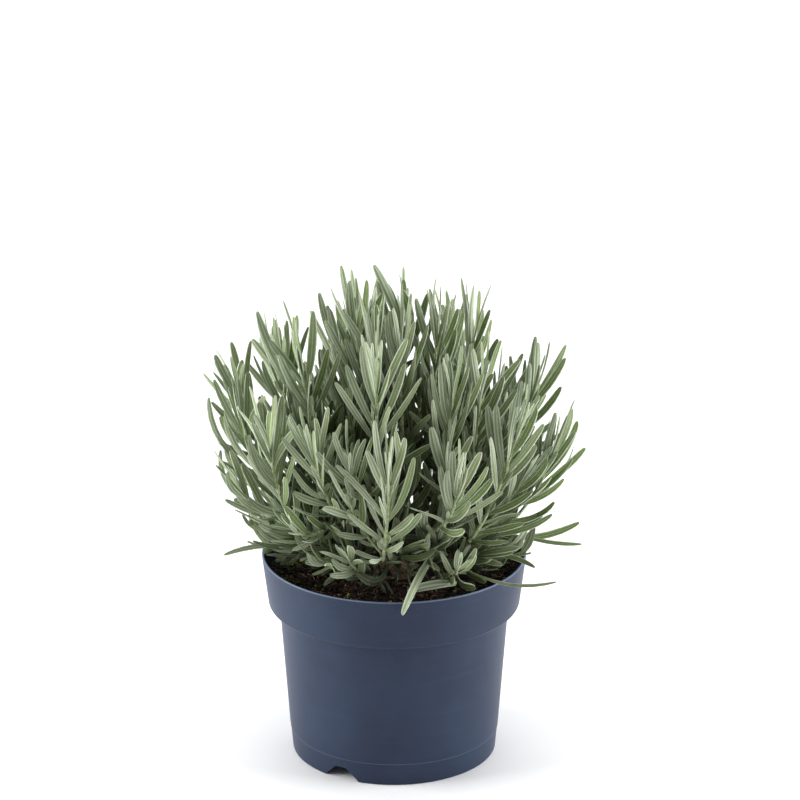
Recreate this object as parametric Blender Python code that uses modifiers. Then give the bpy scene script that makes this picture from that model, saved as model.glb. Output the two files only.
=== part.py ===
"""Potted lavender in a nursery pot.

A plastic pot, the potting mix in it, the woody crown at the soil, fourteen branched woody stems and a tuft of
leaves on the end of each of their forty-two twigs. Metres, +Z up, the origin at the centre of the pot's foot.
The front of the plant faces -Y.
"""

import math
import random
from collections import namedtuple

import bmesh
import bpy
from mathutils import Quaternion, Vector, noise
from mathutils.bvhtree import BVHTree
from mathutils.geometry import interpolate_bezier

MM = 0.001
GAP = 0.3 * MM  # clearance between pieces that touch
UP = Vector((0, 0, 1))

# The pot
POT_HEIGHT = 103 * MM
RIM_RADIUS = 65 * MM
BAND_FOOT_RADIUS = 62 * MM  # lower edge of the wide band under the rim
BAND_HEIGHT = 26.5 * MM
BODY_TOP_RADIUS = 56.4 * MM
FOOT_RADIUS = 50.4 * MM
WALL = 1.3 * MM
SHOULDER_ROUND = 2.4 * MM
SHOULDER_DROP = 1.6 * MM
SEAM_HEIGHT = 11.5 * MM  # mould line above the foot
SEAM_STEP = 0.25 * MM
FLOOR_TOP = 9.6 * MM
FLOOR_THICKNESS = 1.3 * MM
FOOT_BEVEL = 0.9 * MM
POT_SIDES = 48

# Drainage
NOTCH_HEIGHT = 6.7 * MM
NOTCH_FOOT_WIDTH = 17.5 * MM
NOTCH_TOP_WIDTH = 8.5 * MM
NOTCH_AZIMUTH = math.radians(-31)
DRAIN_HOLES = 6
DRAIN_RADIUS = 4 * MM
DRAIN_CIRCLE_RADIUS = 36 * MM
DRAIN_SIDES = 12

# The potting mix and the crown
SOIL_TOP = 92 * MM
SOIL_UNEVENNESS = 1.1 * MM
SOIL_LUMP = 14 * MM
SOIL_RINGS = 5
CROWN_RADIUS = 12 * MM
CROWN_RISE = 7 * MM
CROWN_STUB_RADIUS = 7 * MM
CROWN_STUB_DEPTH = 14 * MM
CROWN_SIDES = 18

# The plant
SEED = 3
SECTORS = 14
WOOD_RADIUS = 1.35 * MM
TWIG_RADIUS = 0.95 * MM
TIP_RADIUS = 0.7 * MM
LEAF_WIDTH = 4.3 * MM
LEAF_KEEL = 0.6 * MM
LEAF_LIFT = 0.25 * MM
SPARE = 0.35 * MM  # added round a leaf or twig when testing whether it is clear of the others
ROOT_OFFSET = 0.2 * MM  # how far beside the shoot's centre line a leaf starts
OWN_SHARE = 0.14  # share of a leaf, from its base, that may meet its own tuft
PATH_POINTS = 28
STEM_POINTS = 5

# Where the leaf pairs stand on each kind of tuft, as shares of its length
LEAF_PAIRS = {
    "tall": (0.1, 0.42, 0.7, 0.93),
    "wide": (0.1, 0.42, 0.7, 0.93),
    "low": (0.2, 0.6, 0.93),
}

# Free space kept for watering: lowest and highest corner
WATERING_BOX = (Vector((-36, -50, 93.6)) * MM, Vector((-14, -37, 104)) * MM)

Shoot = namedtuple("Shoot", "name path wood leaf_length droop seed")
Leaf = namedtuple("Leaf", "root heading end side length width twist")


def spin_vector(azimuth):
    """Level direction at this azimuth, measured from the front towards +X."""
    return Vector((math.sin(azimuth), -math.cos(azimuth), 0))


# ---------------------------------------------------------------- growth

def bezier_path(start, start_heading, end, end_heading):
    """A smooth path of PATH_POINTS points between two headings."""
    reach = (end - start).length
    return interpolate_bezier(
        start,
        start + start_heading.normalized() * reach * 0.38,
        end - end_heading.normalized() * reach * 0.34,
        end,
        PATH_POINTS,
    )


def stretch(path, low, high, count):
    """Points evenly spaced along the path from one share of its length to another."""
    lengths = [0.0]
    for before, after in zip(path, path[1:]):
        lengths.append(lengths[-1] + (after - before).length)
    points = []
    for step in range(count):
        wanted = lengths[-1] * (low + (high - low) * step / (count - 1))
        place = next((i for i, reached in enumerate(lengths) if reached >= wanted - 1e-12), len(lengths) - 1)
        place = max(1, place)
        share = (wanted - lengths[place - 1]) / (lengths[place] - lengths[place - 1])
        points.append(path[place - 1].lerp(path[place], share))
    return points


def place_on(path, share):
    """Point and heading at a share of the path's length."""
    low, point, high = stretch(path, max(0.0, share - 0.02), min(1.0, share + 0.02), 3)
    if share <= 0.02 or share >= 0.98:
        point = stretch(path, share, 1.0 if share < 1 else 0.99, 2)[0]
    return point, (high - low).normalized()


def path_length(path):
    return sum((after - before).length for before, after in zip(path, path[1:]))


def grow_sector(index):
    """The three shoots of one woody stem: one tall, one leaning out and one low."""
    chance = random.Random(SEED * 1000 + index)
    azimuth = math.tau * (index + 0.5) / SECTORS + math.radians(chance.uniform(-3, 3))
    inner = index % 3 == 0
    outward = spin_vector(azimuth)
    root_angle = math.radians(34 if inner else 62)
    root_heading = outward * math.sin(root_angle) + UP * math.cos(root_angle)
    root = UP * SOIL_TOP + outward * (CROWN_RADIUS * math.sin(root_angle)) + UP * (CROWN_RISE * math.cos(root_angle))
    root += root_heading * (GAP + 0.25 * MM)

    # The tall shoot
    tall_spin = spin_vector(azimuth + math.radians(chance.uniform(-4, 4)))
    tall_radius = chance.uniform(13, 24) * MM if inner else chance.uniform(40, 57) * MM
    tall_height = chance.uniform(206, 214) * MM if inner else chance.uniform(190, 207) * MM
    lean = math.radians(4 if inner else chance.uniform(6, 16))
    tall = bezier_path(
        root, root_heading, tall_spin * tall_radius + UP * tall_height, tall_spin * math.sin(lean) + UP * math.cos(lean)
    )

    # The leaning shoot, which leaves the tall one a little above the crown
    fork, fork_heading = place_on(tall, 0.2 if inner else 0.14)
    wide_spin = spin_vector(azimuth + math.radians(chance.uniform(9, 15)))
    lean = math.radians(chance.uniform(6, 20))
    wide = bezier_path(
        fork,
        fork_heading * 0.4 + wide_spin,
        wide_spin * chance.uniform(70, 80) * MM + UP * chance.uniform(154, 180) * MM,
        wide_spin * math.sin(lean) + UP * math.cos(lean),
    )

    # The low shoot
    fork, fork_heading = place_on(tall, 0.11 if inner else 0.07)
    low_spin = spin_vector(azimuth - math.radians(chance.uniform(7, 12)))
    lean = math.radians(chance.uniform(28, 52))
    low = bezier_path(
        fork,
        fork_heading * 0.25 + low_spin,
        low_spin * chance.uniform(46, 59) * MM + UP * chance.uniform(112, 130) * MM,
        low_spin * math.sin(lean) + UP * math.cos(lean),
    )
    seeds = [chance.randrange(10**6) for _ in range(3)]
    return (
        Shoot("tall", tall, 0.42, 37 * MM, 0.0, seeds[0]),
        Shoot("wide", wide, 0.36, 35 * MM, 0.12, seeds[1]),
        Shoot("low", low, 0.34, 29 * MM, 0.62, seeds[2]),
    )


def leaf_point(leaf, share):
    """Point, heading and side direction at a share of the leaf's length."""
    knee = leaf.root + leaf.heading * leaf.length * 0.5
    tip = knee + leaf.end * leaf.length * 0.5
    point = leaf.root.lerp(knee, share).lerp(knee.lerp(tip, share), share)
    heading = leaf.heading.lerp(leaf.end, share).normalized()
    side = (leaf.side - heading * leaf.side.dot(heading)).normalized()
    side.rotate(Quaternion(heading, leaf.twist * share))
    return point, heading, side


def leaf_width(share):
    """Half width as a share of the full one: narrow at the base, widest past the middle, blunt at the tip."""
    if share < 0.62:
        return 0.5 * (0.36 + 0.64 * math.sin(share / 0.62 * math.pi / 2))
    return 0.5 * math.sqrt(max(0.0, 1 - ((share - 0.62) / 0.38) ** 2.6))


def leaf_body(leaf, low=0.0, spare=0.0):
    """Corners and triangles of a keeled blade: three corners in each section and a point at the tip."""
    shares = (low, 0.4, 0.88)
    corners = []
    for share in shares:
        point, heading, side = leaf_point(leaf, share)
        across = side * (leaf.width * leaf_width(share) + spare)
        normal = side.cross(heading)
        corners += [
            point - across + normal * (LEAF_LIFT + spare),
            point + across + normal * (LEAF_LIFT + spare),
            point - normal * (LEAF_KEEL + spare),
        ]
    point, heading, side = leaf_point(leaf, 1.0)
    corners.append(point + heading * spare)
    quads = []
    for ring in range(len(shares) - 1):
        for corner in range(3):
            here, there = ring * 3 + corner, ring * 3 + (corner + 1) % 3
            quads.append((here, there, there + 3, here + 3))
    last = (len(shares) - 1) * 3
    triangles = [(last + corner, last + (corner + 1) % 3, len(corners) - 1) for corner in range(3)]
    return corners, quads + triangles + [(2, 1, 0)]


def tube_body(points, radius, sides=6):
    """Corners and faces of a plain tube, used only to keep leaves off the shoots."""
    corners, faces = [], []
    for index, point in enumerate(points):
        heading = points[min(index + 1, len(points) - 1)] - points[max(index - 1, 0)]
        across = heading.cross(Vector((0.31, 0.17, 0.05))).normalized()
        for side in range(sides):
            corners.append(point + Quaternion(heading.normalized(), math.tau * side / sides) @ across * radius)
    for ring in range(len(points) - 1):
        for side in range(sides):
            here, there = ring * sides + side, ring * sides + (side + 1) % sides
            faces.append((here, there, there + sides, here + sides))
    return corners, faces


class Crowd:
    """Everything grown so far, and whether a new leaf would be clear of it."""

    def __init__(self):
        self.placed = []

    def add(self, owner, corners, faces, trimmed=None):
        low = Vector(map(min, zip(*corners)))
        high = Vector(map(max, zip(*corners)))
        tree = BVHTree.FromPolygons(corners, faces)
        self.placed.append((owner, low, high, tree, trimmed or tree))

    def is_clear(self, owner, corners, faces, trimmed):
        low = Vector(map(min, zip(*corners)))
        high = Vector(map(max, zip(*corners)))
        tree = None
        for other, other_low, other_high, other_tree, other_trimmed in self.placed:
            if any(low[k] > other_high[k] or other_low[k] > high[k] for k in range(3)):
                continue
            tree = tree or BVHTree.FromPolygons(corners, faces)
            if other == owner:
                if other_trimmed is not None and trimmed.overlap(other_trimmed):
                    return False
            elif tree.overlap(other_tree):
                return False
        return True


def pot_inner_radius(height):
    if height > POT_HEIGHT - BAND_HEIGHT:
        share = (POT_HEIGHT - height) / BAND_HEIGHT
        return RIM_RADIUS - WALL - (RIM_RADIUS - BAND_FOOT_RADIUS) * share
    return BODY_TOP_RADIUS - WALL


def misses_pot(corners):
    """True where no corner is in the soil, in the pot's wall or in the space kept for watering."""
    for corner in corners:
        radius = math.hypot(corner.x, corner.y)
        if radius < RIM_RADIUS + 1.2 * MM and corner.z < SOIL_TOP + 2.2 * MM:
            return False
        if radius > pot_inner_radius(corner.z) - 1.5 * MM and corner.z < POT_HEIGHT + 0.8 * MM:
            if radius < RIM_RADIUS + 1.2 * MM:
                return False
        if corner.z < SOIL_TOP - 12 * MM:
            return False
        low, high = WATERING_BOX
        if all(low[k] - 1.5 * MM < corner[k] < high[k] + 1.5 * MM for k in range(3)):
            return False
    return True


def try_leaf(shoot, share, turn, spread, length, chance):
    """One leaf on a shoot, at this share of its whole path, turned by this angle about it."""
    root, axis = place_on(shoot.path, share)
    radial = axis.orthogonal().normalized()
    radial.rotate(Quaternion(axis, turn))
    heading = axis * math.cos(spread) + radial * math.sin(spread)
    outward = Vector((root.x, root.y, 0)).normalized()
    lift = chance.uniform(0.35, 0.95) * (1 - shoot.droop)
    sag = shoot.droop * chance.uniform(-0.4, 0.7)
    end = heading + axis * lift * 0.5 + UP * lift + outward * sag - UP * sag * 0.8
    end.rotate(Quaternion(radial, chance.uniform(-0.22, 0.22)))
    end.normalize()
    side = heading.cross(axis).normalized()
    root = root + radial * ROOT_OFFSET
    return Leaf(root, heading, end, side, length, LEAF_WIDTH * chance.uniform(0.84, 1.1), chance.uniform(-0.7, 0.7))


def place_leaf(crowd, owner, shoot, share, turn, spread, length, chance, tries=14):
    """The first try that is clear of the pot and of everything grown so far, or None."""
    for attempt in range(tries):
        wander = 0.05 + 0.05 * attempt
        leaf = try_leaf(
            shoot,
            share,
            turn + chance.uniform(-wander, wander) * 1.6,
            spread * chance.uniform(1 - wander, 1 + wander),
            length * chance.uniform(0.86, 1.08) * (1 - 0.02 * attempt),
            chance,
        )
        corners, faces = leaf_body(leaf, 0.0, SPARE)
        if not misses_pot([leaf_point(leaf, s / 8)[0] for s in range(9)] + corners):
            continue
        trimmed = BVHTree.FromPolygons(*leaf_body(leaf, OWN_SHARE, SPARE))
        if crowd.is_clear(owner, corners, faces, trimmed):
            crowd.add(owner, corners, faces, trimmed)
            return leaf
    return None


def grow_plant():
    """Every shoot with its leaves, in order: {name: (shoot, [leaf, ...])}, and the crowd they make."""
    crowd = Crowd()
    shoots = {}
    for index in range(SECTORS):
        for shoot in grow_sector(index):
            shoots[f"{index + 1:02d}_{shoot.name}"] = shoot
    for name, shoot in shoots.items():
        corners, faces = tube_body(stretch(shoot.path, 0, 1, 12), WOOD_RADIUS + SPARE)
        crowd.add(name, corners, faces)
        crowd.placed[-1] = crowd.placed[-1][:4] + (None,)  # a tuft's own leaves spring from it
    plant = {name: (shoot, []) for name, shoot in shoots.items()}
    for name, (shoot, leaves) in plant.items():
        chance = random.Random(shoot.seed)
        start = chance.uniform(0, math.tau)
        for pair, place in enumerate(LEAF_PAIRS[shoot.name]):
            share = shoot.wood + (1 - shoot.wood) * place
            spread = math.radians(52 - 36 * place)
            length = shoot.leaf_length * (0.66 + 0.34 * min(1.0, place * 1.5))
            for half in range(2):
                turn = start + math.pi / 2 * pair + math.pi * half
                leaf = place_leaf(crowd, name, shoot, share, turn, spread, length, chance)
                if leaf:
                    leaves.append(leaf)
    return plant, crowd


# ---------------------------------------------------------------- Blender helpers

def clear_scene():
    for obj in list(bpy.data.objects):
        bpy.data.objects.remove(obj)


def new_collection(name):
    collection = bpy.data.collections.new(name)
    bpy.context.scene.collection.children.link(collection)
    return collection


def plain_material(name, colour, roughness):
    material = bpy.data.materials.new(name)
    material.use_nodes = True
    shader = material.node_tree.nodes["Principled BSDF"]
    shader.inputs["Base Color"].default_value = (*colour, 1)
    shader.inputs["Roughness"].default_value = roughness
    shader.inputs["Metallic"].default_value = 0
    material.diffuse_color = (*colour, 1)
    return material


def add_object(name, data, collection, material=None):
    obj = bpy.data.objects.new(name, data)
    collection.objects.link(obj)
    if material:
        data.materials.append(material)
    return obj


def mesh_of(name, corners, faces):
    """A closed mesh with its faces turned outwards."""
    shape = bmesh.new()
    made = [shape.verts.new(corner) for corner in corners]
    for face in faces:
        shape.faces.new([made[index] for index in face])
    bmesh.ops.recalc_face_normals(shape, faces=shape.faces)
    mesh = bpy.data.meshes.new(name)
    shape.to_mesh(mesh)
    shape.free()
    return mesh


def turned(name, profile, sides, collection, material=None):
    """A profile of (radius, height) points turned about Z. It starts and ends on the axis, outer side downwards."""
    shape = bmesh.new()
    points = [shape.verts.new((radius, 0, height)) for radius, height in profile]
    for before, after in zip(points, points[1:]):
        shape.edges.new((before, after))
    mesh = bpy.data.meshes.new(name)
    shape.to_mesh(mesh)
    shape.free()
    obj = add_object(name, mesh, collection, material)
    screw = obj.modifiers.new("turn", "SCREW")
    screw.steps = sides
    screw.render_steps = sides
    screw.use_merge_vertices = True
    screw.merge_threshold = 0.00001
    return obj


def made_mesh(obj, weld=0.000002):
    """Turns an object into a plain mesh of what it evaluates to, welded if asked, and returns the new object."""
    bpy.context.view_layer.update()
    evaluated = obj.evaluated_get(bpy.context.evaluated_depsgraph_get())
    mesh = bpy.data.meshes.new_from_object(evaluated)
    if weld:
        shape = bmesh.new()
        shape.from_mesh(mesh)
        bmesh.ops.remove_doubles(shape, verts=shape.verts, dist=weld)
        bmesh.ops.recalc_face_normals(shape, faces=shape.faces)
        shape.to_mesh(mesh)
        shape.free()
    name, collection, matrix = obj.name, obj.users_collection[0], obj.matrix_world.copy()
    bpy.data.objects.remove(obj)
    made = bpy.data.objects.new(name, mesh)
    collection.objects.link(made)
    made.matrix_world = matrix
    return made


def tube(name, points, radii, collection, material=None):
    """A capped four-sided tube along the points, as a mesh."""
    curve = bpy.data.curves.new(name, "CURVE")
    curve.dimensions = "3D"
    curve.bevel_depth = 1.0
    curve.bevel_resolution = 0
    curve.use_fill_caps = True
    spline = curve.splines.new("POLY")
    spline.points.add(len(points) - 1)
    for place, (point, radius) in enumerate(zip(points, radii)):
        spline.points[place].co = (*point, 1)
        spline.points[place].radius = radius
    return made_mesh(add_object(name, curve, collection, material))


def combine(obj, others, operation):
    """Cuts the others from a mesh object, or joins them to it, and removes them."""
    helpers = bpy.data.collections.new("operands")
    bpy.context.scene.collection.children.link(helpers)
    for other in others:
        helpers.objects.link(other)
    boolean = obj.modifiers.new(operation.lower(), "BOOLEAN")
    boolean.operation = operation
    boolean.operand_type = "COLLECTION"
    boolean.collection = helpers
    made = made_mesh(obj, weld=0)
    for other in others:
        bpy.data.objects.remove(other)
    bpy.data.collections.remove(helpers)
    return made


# ---------------------------------------------------------------- the pieces

def corner_arc(centre_radius, centre_height, round_radius, start, end, steps):
    """Points of an arc in the profile's plane, from one angle to another, in degrees from outwards to upwards."""
    points = []
    for step in range(steps + 1):
        angle = math.radians(start + (end - start) * step / steps)
        points.append(
            (centre_radius + round_radius * math.cos(angle), centre_height + round_radius * math.sin(angle))
        )
    return points


def build_pot(parts, helpers, material):
    band_foot = POT_HEIGHT - BAND_HEIGHT
    body_top = band_foot - SHOULDER_DROP
    inner_foot = FOOT_RADIUS - WALL
    slope = (BODY_TOP_RADIUS - FOOT_RADIUS) / body_top
    seam_radius = FOOT_RADIUS + slope * SEAM_HEIGHT
    profile = [
        (0, FLOOR_TOP),
        (inner_foot + slope * FLOOR_TOP - 1.5 * MM, FLOOR_TOP),
        (inner_foot + slope * FLOOR_TOP, FLOOR_TOP + 1.5 * MM),
        (BODY_TOP_RADIUS - WALL, body_top),
        (BAND_FOOT_RADIUS - WALL - SHOULDER_ROUND, band_foot + WALL),
        (BAND_FOOT_RADIUS - WALL, band_foot + WALL + SHOULDER_ROUND),
        (RIM_RADIUS - WALL, POT_HEIGHT - 0.3 * MM),
        (RIM_RADIUS - WALL + 0.3 * MM, POT_HEIGHT),
        (RIM_RADIUS - 0.4 * MM, POT_HEIGHT),
        (RIM_RADIUS, POT_HEIGHT - 0.4 * MM),
    ]
    profile += corner_arc(
        BAND_FOOT_RADIUS - SHOULDER_ROUND, band_foot + SHOULDER_ROUND, SHOULDER_ROUND, 0, -80, 4
    )
    profile += [
        (BODY_TOP_RADIUS, body_top),
        (seam_radius + SEAM_STEP, SEAM_HEIGHT),
        (seam_radius, SEAM_HEIGHT - SEAM_STEP),
        (FOOT_RADIUS + slope * FOOT_BEVEL, FOOT_BEVEL),
        (FOOT_RADIUS - FOOT_BEVEL * 0.8, 0),
        (inner_foot - 1.2 * MM, 0),
        (inner_foot - 0.8 * MM, FLOOR_TOP - FLOOR_THICKNESS),
        (0, FLOOR_TOP - FLOOR_THICKNESS),
    ]
    pot = made_mesh(turned("pot", profile, POT_SIDES, parts, material))
    cutters = [notch_cutter(helpers)]
    for index in range(DRAIN_HOLES):
        spot = spin_vector(NOTCH_AZIMUTH + math.tau * (index + 0.5) / DRAIN_HOLES) * DRAIN_CIRCLE_RADIUS
        bpy.ops.mesh.primitive_cylinder_add(
            vertices=DRAIN_SIDES, radius=DRAIN_RADIUS, depth=FLOOR_THICKNESS * 3,
            location=(spot.x, spot.y, FLOOR_TOP - FLOOR_THICKNESS / 2),
        )
        cutters.append(bpy.context.object)
    pot = combine(pot, cutters, "DIFFERENCE")
    pot.data.shade_smooth()
    pot.data.set_sharp_from_angle(angle=math.radians(35))
    return pot


def notch_cutter(collection):
    """A bar with the notch's outline that runs right across the foot, so that it cuts the two opposite notches."""
    half_foot, half_top = NOTCH_FOOT_WIDTH / 2, NOTCH_TOP_WIDTH / 2
    rise = [(half_foot + 2 * MM, -1 * MM), (half_foot, 0.5 * MM), (half_foot - 1.6 * MM, 1.6 * MM)]
    rise += [(half_top + 1.6 * MM, NOTCH_HEIGHT - 1.6 * MM), (half_top, NOTCH_HEIGHT - 0.4 * MM)]
    rise += [(half_top - 1.4 * MM, NOTCH_HEIGHT)]
    outline = rise + [(-x, z) for x, z in reversed(rise)]
    curve = bpy.data.curves.new("notch", "CURVE")
    curve.dimensions = "2D"
    curve.fill_mode = "BOTH"
    curve.extrude = FOOT_RADIUS * 1.3
    spline = curve.splines.new("POLY")
    spline.points.add(len(outline) - 1)
    spline.use_cyclic_u = True
    for place, (x, z) in enumerate(outline):
        spline.points[place].co = (x, z, 0, 1)
    bar = add_object("notch", curve, collection)
    bar.rotation_euler = (math.pi / 2, 0, NOTCH_AZIMUTH)
    return made_mesh(bar)


def crown_profile(grow):
    """Half outline of the crown, a low dome on a stub set in the soil, grown by this much all round."""
    dome = []
    for step in range(6):
        angle = math.radians(90 - 18 * step)
        dome.append(
            (
                (CROWN_RADIUS + grow) * math.cos(angle) if step else 0,
                SOIL_TOP + (CROWN_RISE + grow) * math.sin(angle),
            )
        )
    return dome + [
        (CROWN_RADIUS * 0.86 + grow, SOIL_TOP - 4 * MM),
        (CROWN_STUB_RADIUS + grow, SOIL_TOP - 7 * MM),
        (CROWN_STUB_RADIUS * 0.8 + grow, SOIL_TOP - CROWN_STUB_DEPTH - grow),
        (0, SOIL_TOP - CROWN_STUB_DEPTH - grow),
    ]


def build_soil(parts, helpers, material):
    band_foot = POT_HEIGHT - BAND_HEIGHT
    body_top = band_foot - SHOULDER_DROP
    slope = (BODY_TOP_RADIUS - FOOT_RADIUS) / body_top
    inner_foot = FOOT_RADIUS - WALL - GAP
    edge = pot_inner_radius(SOIL_TOP) - GAP
    top = [(edge * ring / SOIL_RINGS, SOIL_TOP) for ring in range(SOIL_RINGS + 1)]
    profile = top + [
        (BAND_FOOT_RADIUS - WALL - GAP, band_foot + WALL + SHOULDER_ROUND + GAP),
        (BAND_FOOT_RADIUS - WALL - SHOULDER_ROUND - GAP, band_foot + WALL + GAP),
        (BODY_TOP_RADIUS - WALL - 2 * GAP, body_top + GAP),
        (inner_foot + slope * FLOOR_TOP - 0.2 * MM, FLOOR_TOP + 1.8 * MM),
        (inner_foot + slope * FLOOR_TOP - 1.6 * MM, FLOOR_TOP + GAP),
        (0, FLOOR_TOP + GAP),
    ]
    soil = made_mesh(turned("potting_mix", profile, POT_SIDES, parts, material))
    for vertex in soil.data.vertices:
        if vertex.co.z > SOIL_TOP - 0.1 * MM and math.hypot(vertex.co.x, vertex.co.y) > CROWN_RADIUS * 1.2:
            vertex.co.z += noise.noise(vertex.co / SOIL_LUMP) * SOIL_UNEVENNESS
    socket = made_mesh(turned("socket", crown_profile(GAP), CROWN_SIDES, helpers))
    soil = combine(soil, [socket], "DIFFERENCE")
    soil.data.shade_smooth()
    return soil


def build_crown(parts, material):
    crown = made_mesh(turned("crown", crown_profile(0), CROWN_SIDES, parts, material))
    crown.data.shade_smooth()
    return crown


def build_stem(index, plant, parts, material):
    """One woody stem with the woody ends of its three shoots."""
    pieces = []
    for kind in ("tall", "wide", "low"):
        shoot = plant[f"{index + 1:02d}_{kind}"][0]
        points = stretch(shoot.path, 0, shoot.wood, STEM_POINTS)
        start = WOOD_RADIUS if kind == "tall" else TWIG_RADIUS * 1.1
        radii = [start + (TWIG_RADIUS - start) * step / (STEM_POINTS - 1) for step in range(STEM_POINTS)]
        name = f"stem_{index + 1:02d}" if kind == "tall" else "twig"
        pieces.append(tube(name, points, radii, parts, material))
    stem = combine(pieces[0], pieces[1:], "UNION")
    stem.data.shade_smooth()
    stem.data.set_sharp_from_angle(angle=math.radians(50))
    return stem


def build_tuft(number, shoot, leaves, parts, helpers, material):
    """The green end of a shoot with its leaves, in one piece."""
    start = shoot.wood + (GAP + 0.1 * MM) / path_length(shoot.path)
    points = stretch(shoot.path, start, 1, STEM_POINTS)
    radii = [TWIG_RADIUS + (TIP_RADIUS - TWIG_RADIUS) * step / (STEM_POINTS - 1) for step in range(STEM_POINTS)]
    axis = tube(f"leaf_tuft_{number:02d}", points, radii, parts, material)
    blades = [add_object("leaf", mesh_of("leaf", *leaf_body(leaf)), helpers, material) for leaf in leaves]
    tuft = combine(axis, blades, "UNION")
    tuft.data.shade_smooth()
    tuft.data.set_sharp_from_angle(angle=math.radians(50))
    return tuft


def main():
    clear_scene()
    parts = new_collection("potted_lavender")
    helpers = new_collection("helpers")
    helpers.hide_render = True
    plastic = plain_material("blue_polypropylene", (0.06, 0.09, 0.16), 0.42)
    peat = plain_material("peat_mix", (0.02, 0.012, 0.008), 0.95)
    bark = plain_material("woody_bark", (0.16, 0.11, 0.06), 0.85)
    leaf_green = plain_material("downy_leaf", (0.28, 0.36, 0.22), 0.75)

    build_pot(parts, helpers, plastic)
    build_soil(parts, helpers, peat)
    build_crown(parts, bark)
    plant, _crowd = grow_plant()
    for index in range(SECTORS):
        build_stem(index, plant, parts, bark)
    for number, (shoot, leaves) in enumerate(plant.values(), 1):
        build_tuft(number, shoot, leaves, parts, helpers, leaf_green)


main()
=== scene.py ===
"""Looks of a potted lavender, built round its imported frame.

Every large leaf stands where its solid does, because the growing code is the part's own. Smaller leaves and
side twigs then grow into the free space between them, and each surface gets the finish of the real thing: a
moulded polypropylene pot, peat with crumbs, root fibres and moss, flaking bark, and downy leaves with pale
rolled edges.
"""

import math
import random
from collections import namedtuple

import bmesh
import bpy
import numpy as np
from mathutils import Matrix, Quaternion, Vector, noise
from mathutils.bvhtree import BVHTree
from mathutils.geometry import interpolate_bezier


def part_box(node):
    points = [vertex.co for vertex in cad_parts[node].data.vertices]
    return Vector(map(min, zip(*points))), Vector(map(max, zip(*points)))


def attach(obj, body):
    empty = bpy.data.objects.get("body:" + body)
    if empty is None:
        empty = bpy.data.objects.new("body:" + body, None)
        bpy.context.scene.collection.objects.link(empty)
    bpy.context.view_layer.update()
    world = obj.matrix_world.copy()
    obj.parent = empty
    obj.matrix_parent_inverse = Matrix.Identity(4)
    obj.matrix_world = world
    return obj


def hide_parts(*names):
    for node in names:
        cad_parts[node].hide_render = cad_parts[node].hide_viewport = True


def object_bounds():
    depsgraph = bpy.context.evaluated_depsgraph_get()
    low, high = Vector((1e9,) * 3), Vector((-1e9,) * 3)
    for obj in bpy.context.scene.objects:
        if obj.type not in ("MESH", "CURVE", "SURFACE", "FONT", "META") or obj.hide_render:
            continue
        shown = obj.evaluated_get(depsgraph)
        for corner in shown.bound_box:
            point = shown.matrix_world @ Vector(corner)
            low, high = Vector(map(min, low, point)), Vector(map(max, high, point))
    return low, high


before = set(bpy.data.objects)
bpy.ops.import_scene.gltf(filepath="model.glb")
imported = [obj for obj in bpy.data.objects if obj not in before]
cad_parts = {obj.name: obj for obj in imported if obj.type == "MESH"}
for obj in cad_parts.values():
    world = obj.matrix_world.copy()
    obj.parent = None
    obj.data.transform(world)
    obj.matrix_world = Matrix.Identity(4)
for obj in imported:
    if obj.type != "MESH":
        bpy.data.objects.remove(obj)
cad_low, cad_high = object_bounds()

MM = 0.001
GAP = 0.3 * MM
UP = Vector((0, 0, 1))


def measured(length):
    """A length read from the frame, to the nearest tenth of a millimetre."""
    return round(length / MM, 1) * MM


# The pot, as the frame has it
POT_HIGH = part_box("pot")[1]
POT_HEIGHT = measured(POT_HIGH.z)
RIM_RADIUS = measured(POT_HIGH.x)
BAND_FOOT_RADIUS = RIM_RADIUS - 3 * MM
BAND_HEIGHT = 26.5 * MM
BODY_TOP_RADIUS = 56.4 * MM
FOOT_RADIUS = 50.4 * MM
WALL = 1.3 * MM
SHOULDER_ROUND = 2.4 * MM
SHOULDER_DROP = 1.6 * MM
SEAM_HEIGHT = 11.5 * MM
SEAM_STEP = 0.25 * MM
FLOOR_TOP = 9.6 * MM
FLOOR_THICKNESS = 1.3 * MM
FOOT_BEVEL = 0.9 * MM
NOTCH_HEIGHT = 6.7 * MM
NOTCH_FOOT_WIDTH = 17.5 * MM
NOTCH_TOP_WIDTH = 8.5 * MM
NOTCH_AZIMUTH = math.radians(-31)
DRAIN_HOLES = 6
DRAIN_RADIUS = 4 * MM
DRAIN_CIRCLE_RADIUS = 36 * MM
POT_SIDES = 192

# The potting mix and the crown
CROWN_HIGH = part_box("crown")[1]
CROWN_STUB_DEPTH = 14 * MM
CROWN_RADIUS = 12 * MM
CROWN_RISE = 7 * MM
CROWN_STUB_RADIUS = 7 * MM
SOIL_TOP = measured(CROWN_HIGH.z) - CROWN_RISE
SOIL_UNEVENNESS = 1.1 * MM
SOIL_LUMP = 14 * MM

# Clods, crumbs and grit on the mix: their size and height in millimetres, and a shift that sets them apart
SOIL_DETAIL = ((5.5, 0.9, (7, 3, 1)), (2.1, 0.5, (2, 9, 4)), (0.9, 0.22, (0, 0, 0)))

# Cushions of moss: their places as shares of the mix's radius, and their radii in millimetres
MOSS_CUSHIONS = (
    (-0.87, 0.18, 9), (-0.93, -0.2, 7), (-0.78, -0.5, 6), (0.9, 0.25, 6), (0.3, 0.9, 7), (-0.3, 0.93, 5),
)
STEM_POINTS = 22
STRANDS = 620
STRAND_STEPS = 6

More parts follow.
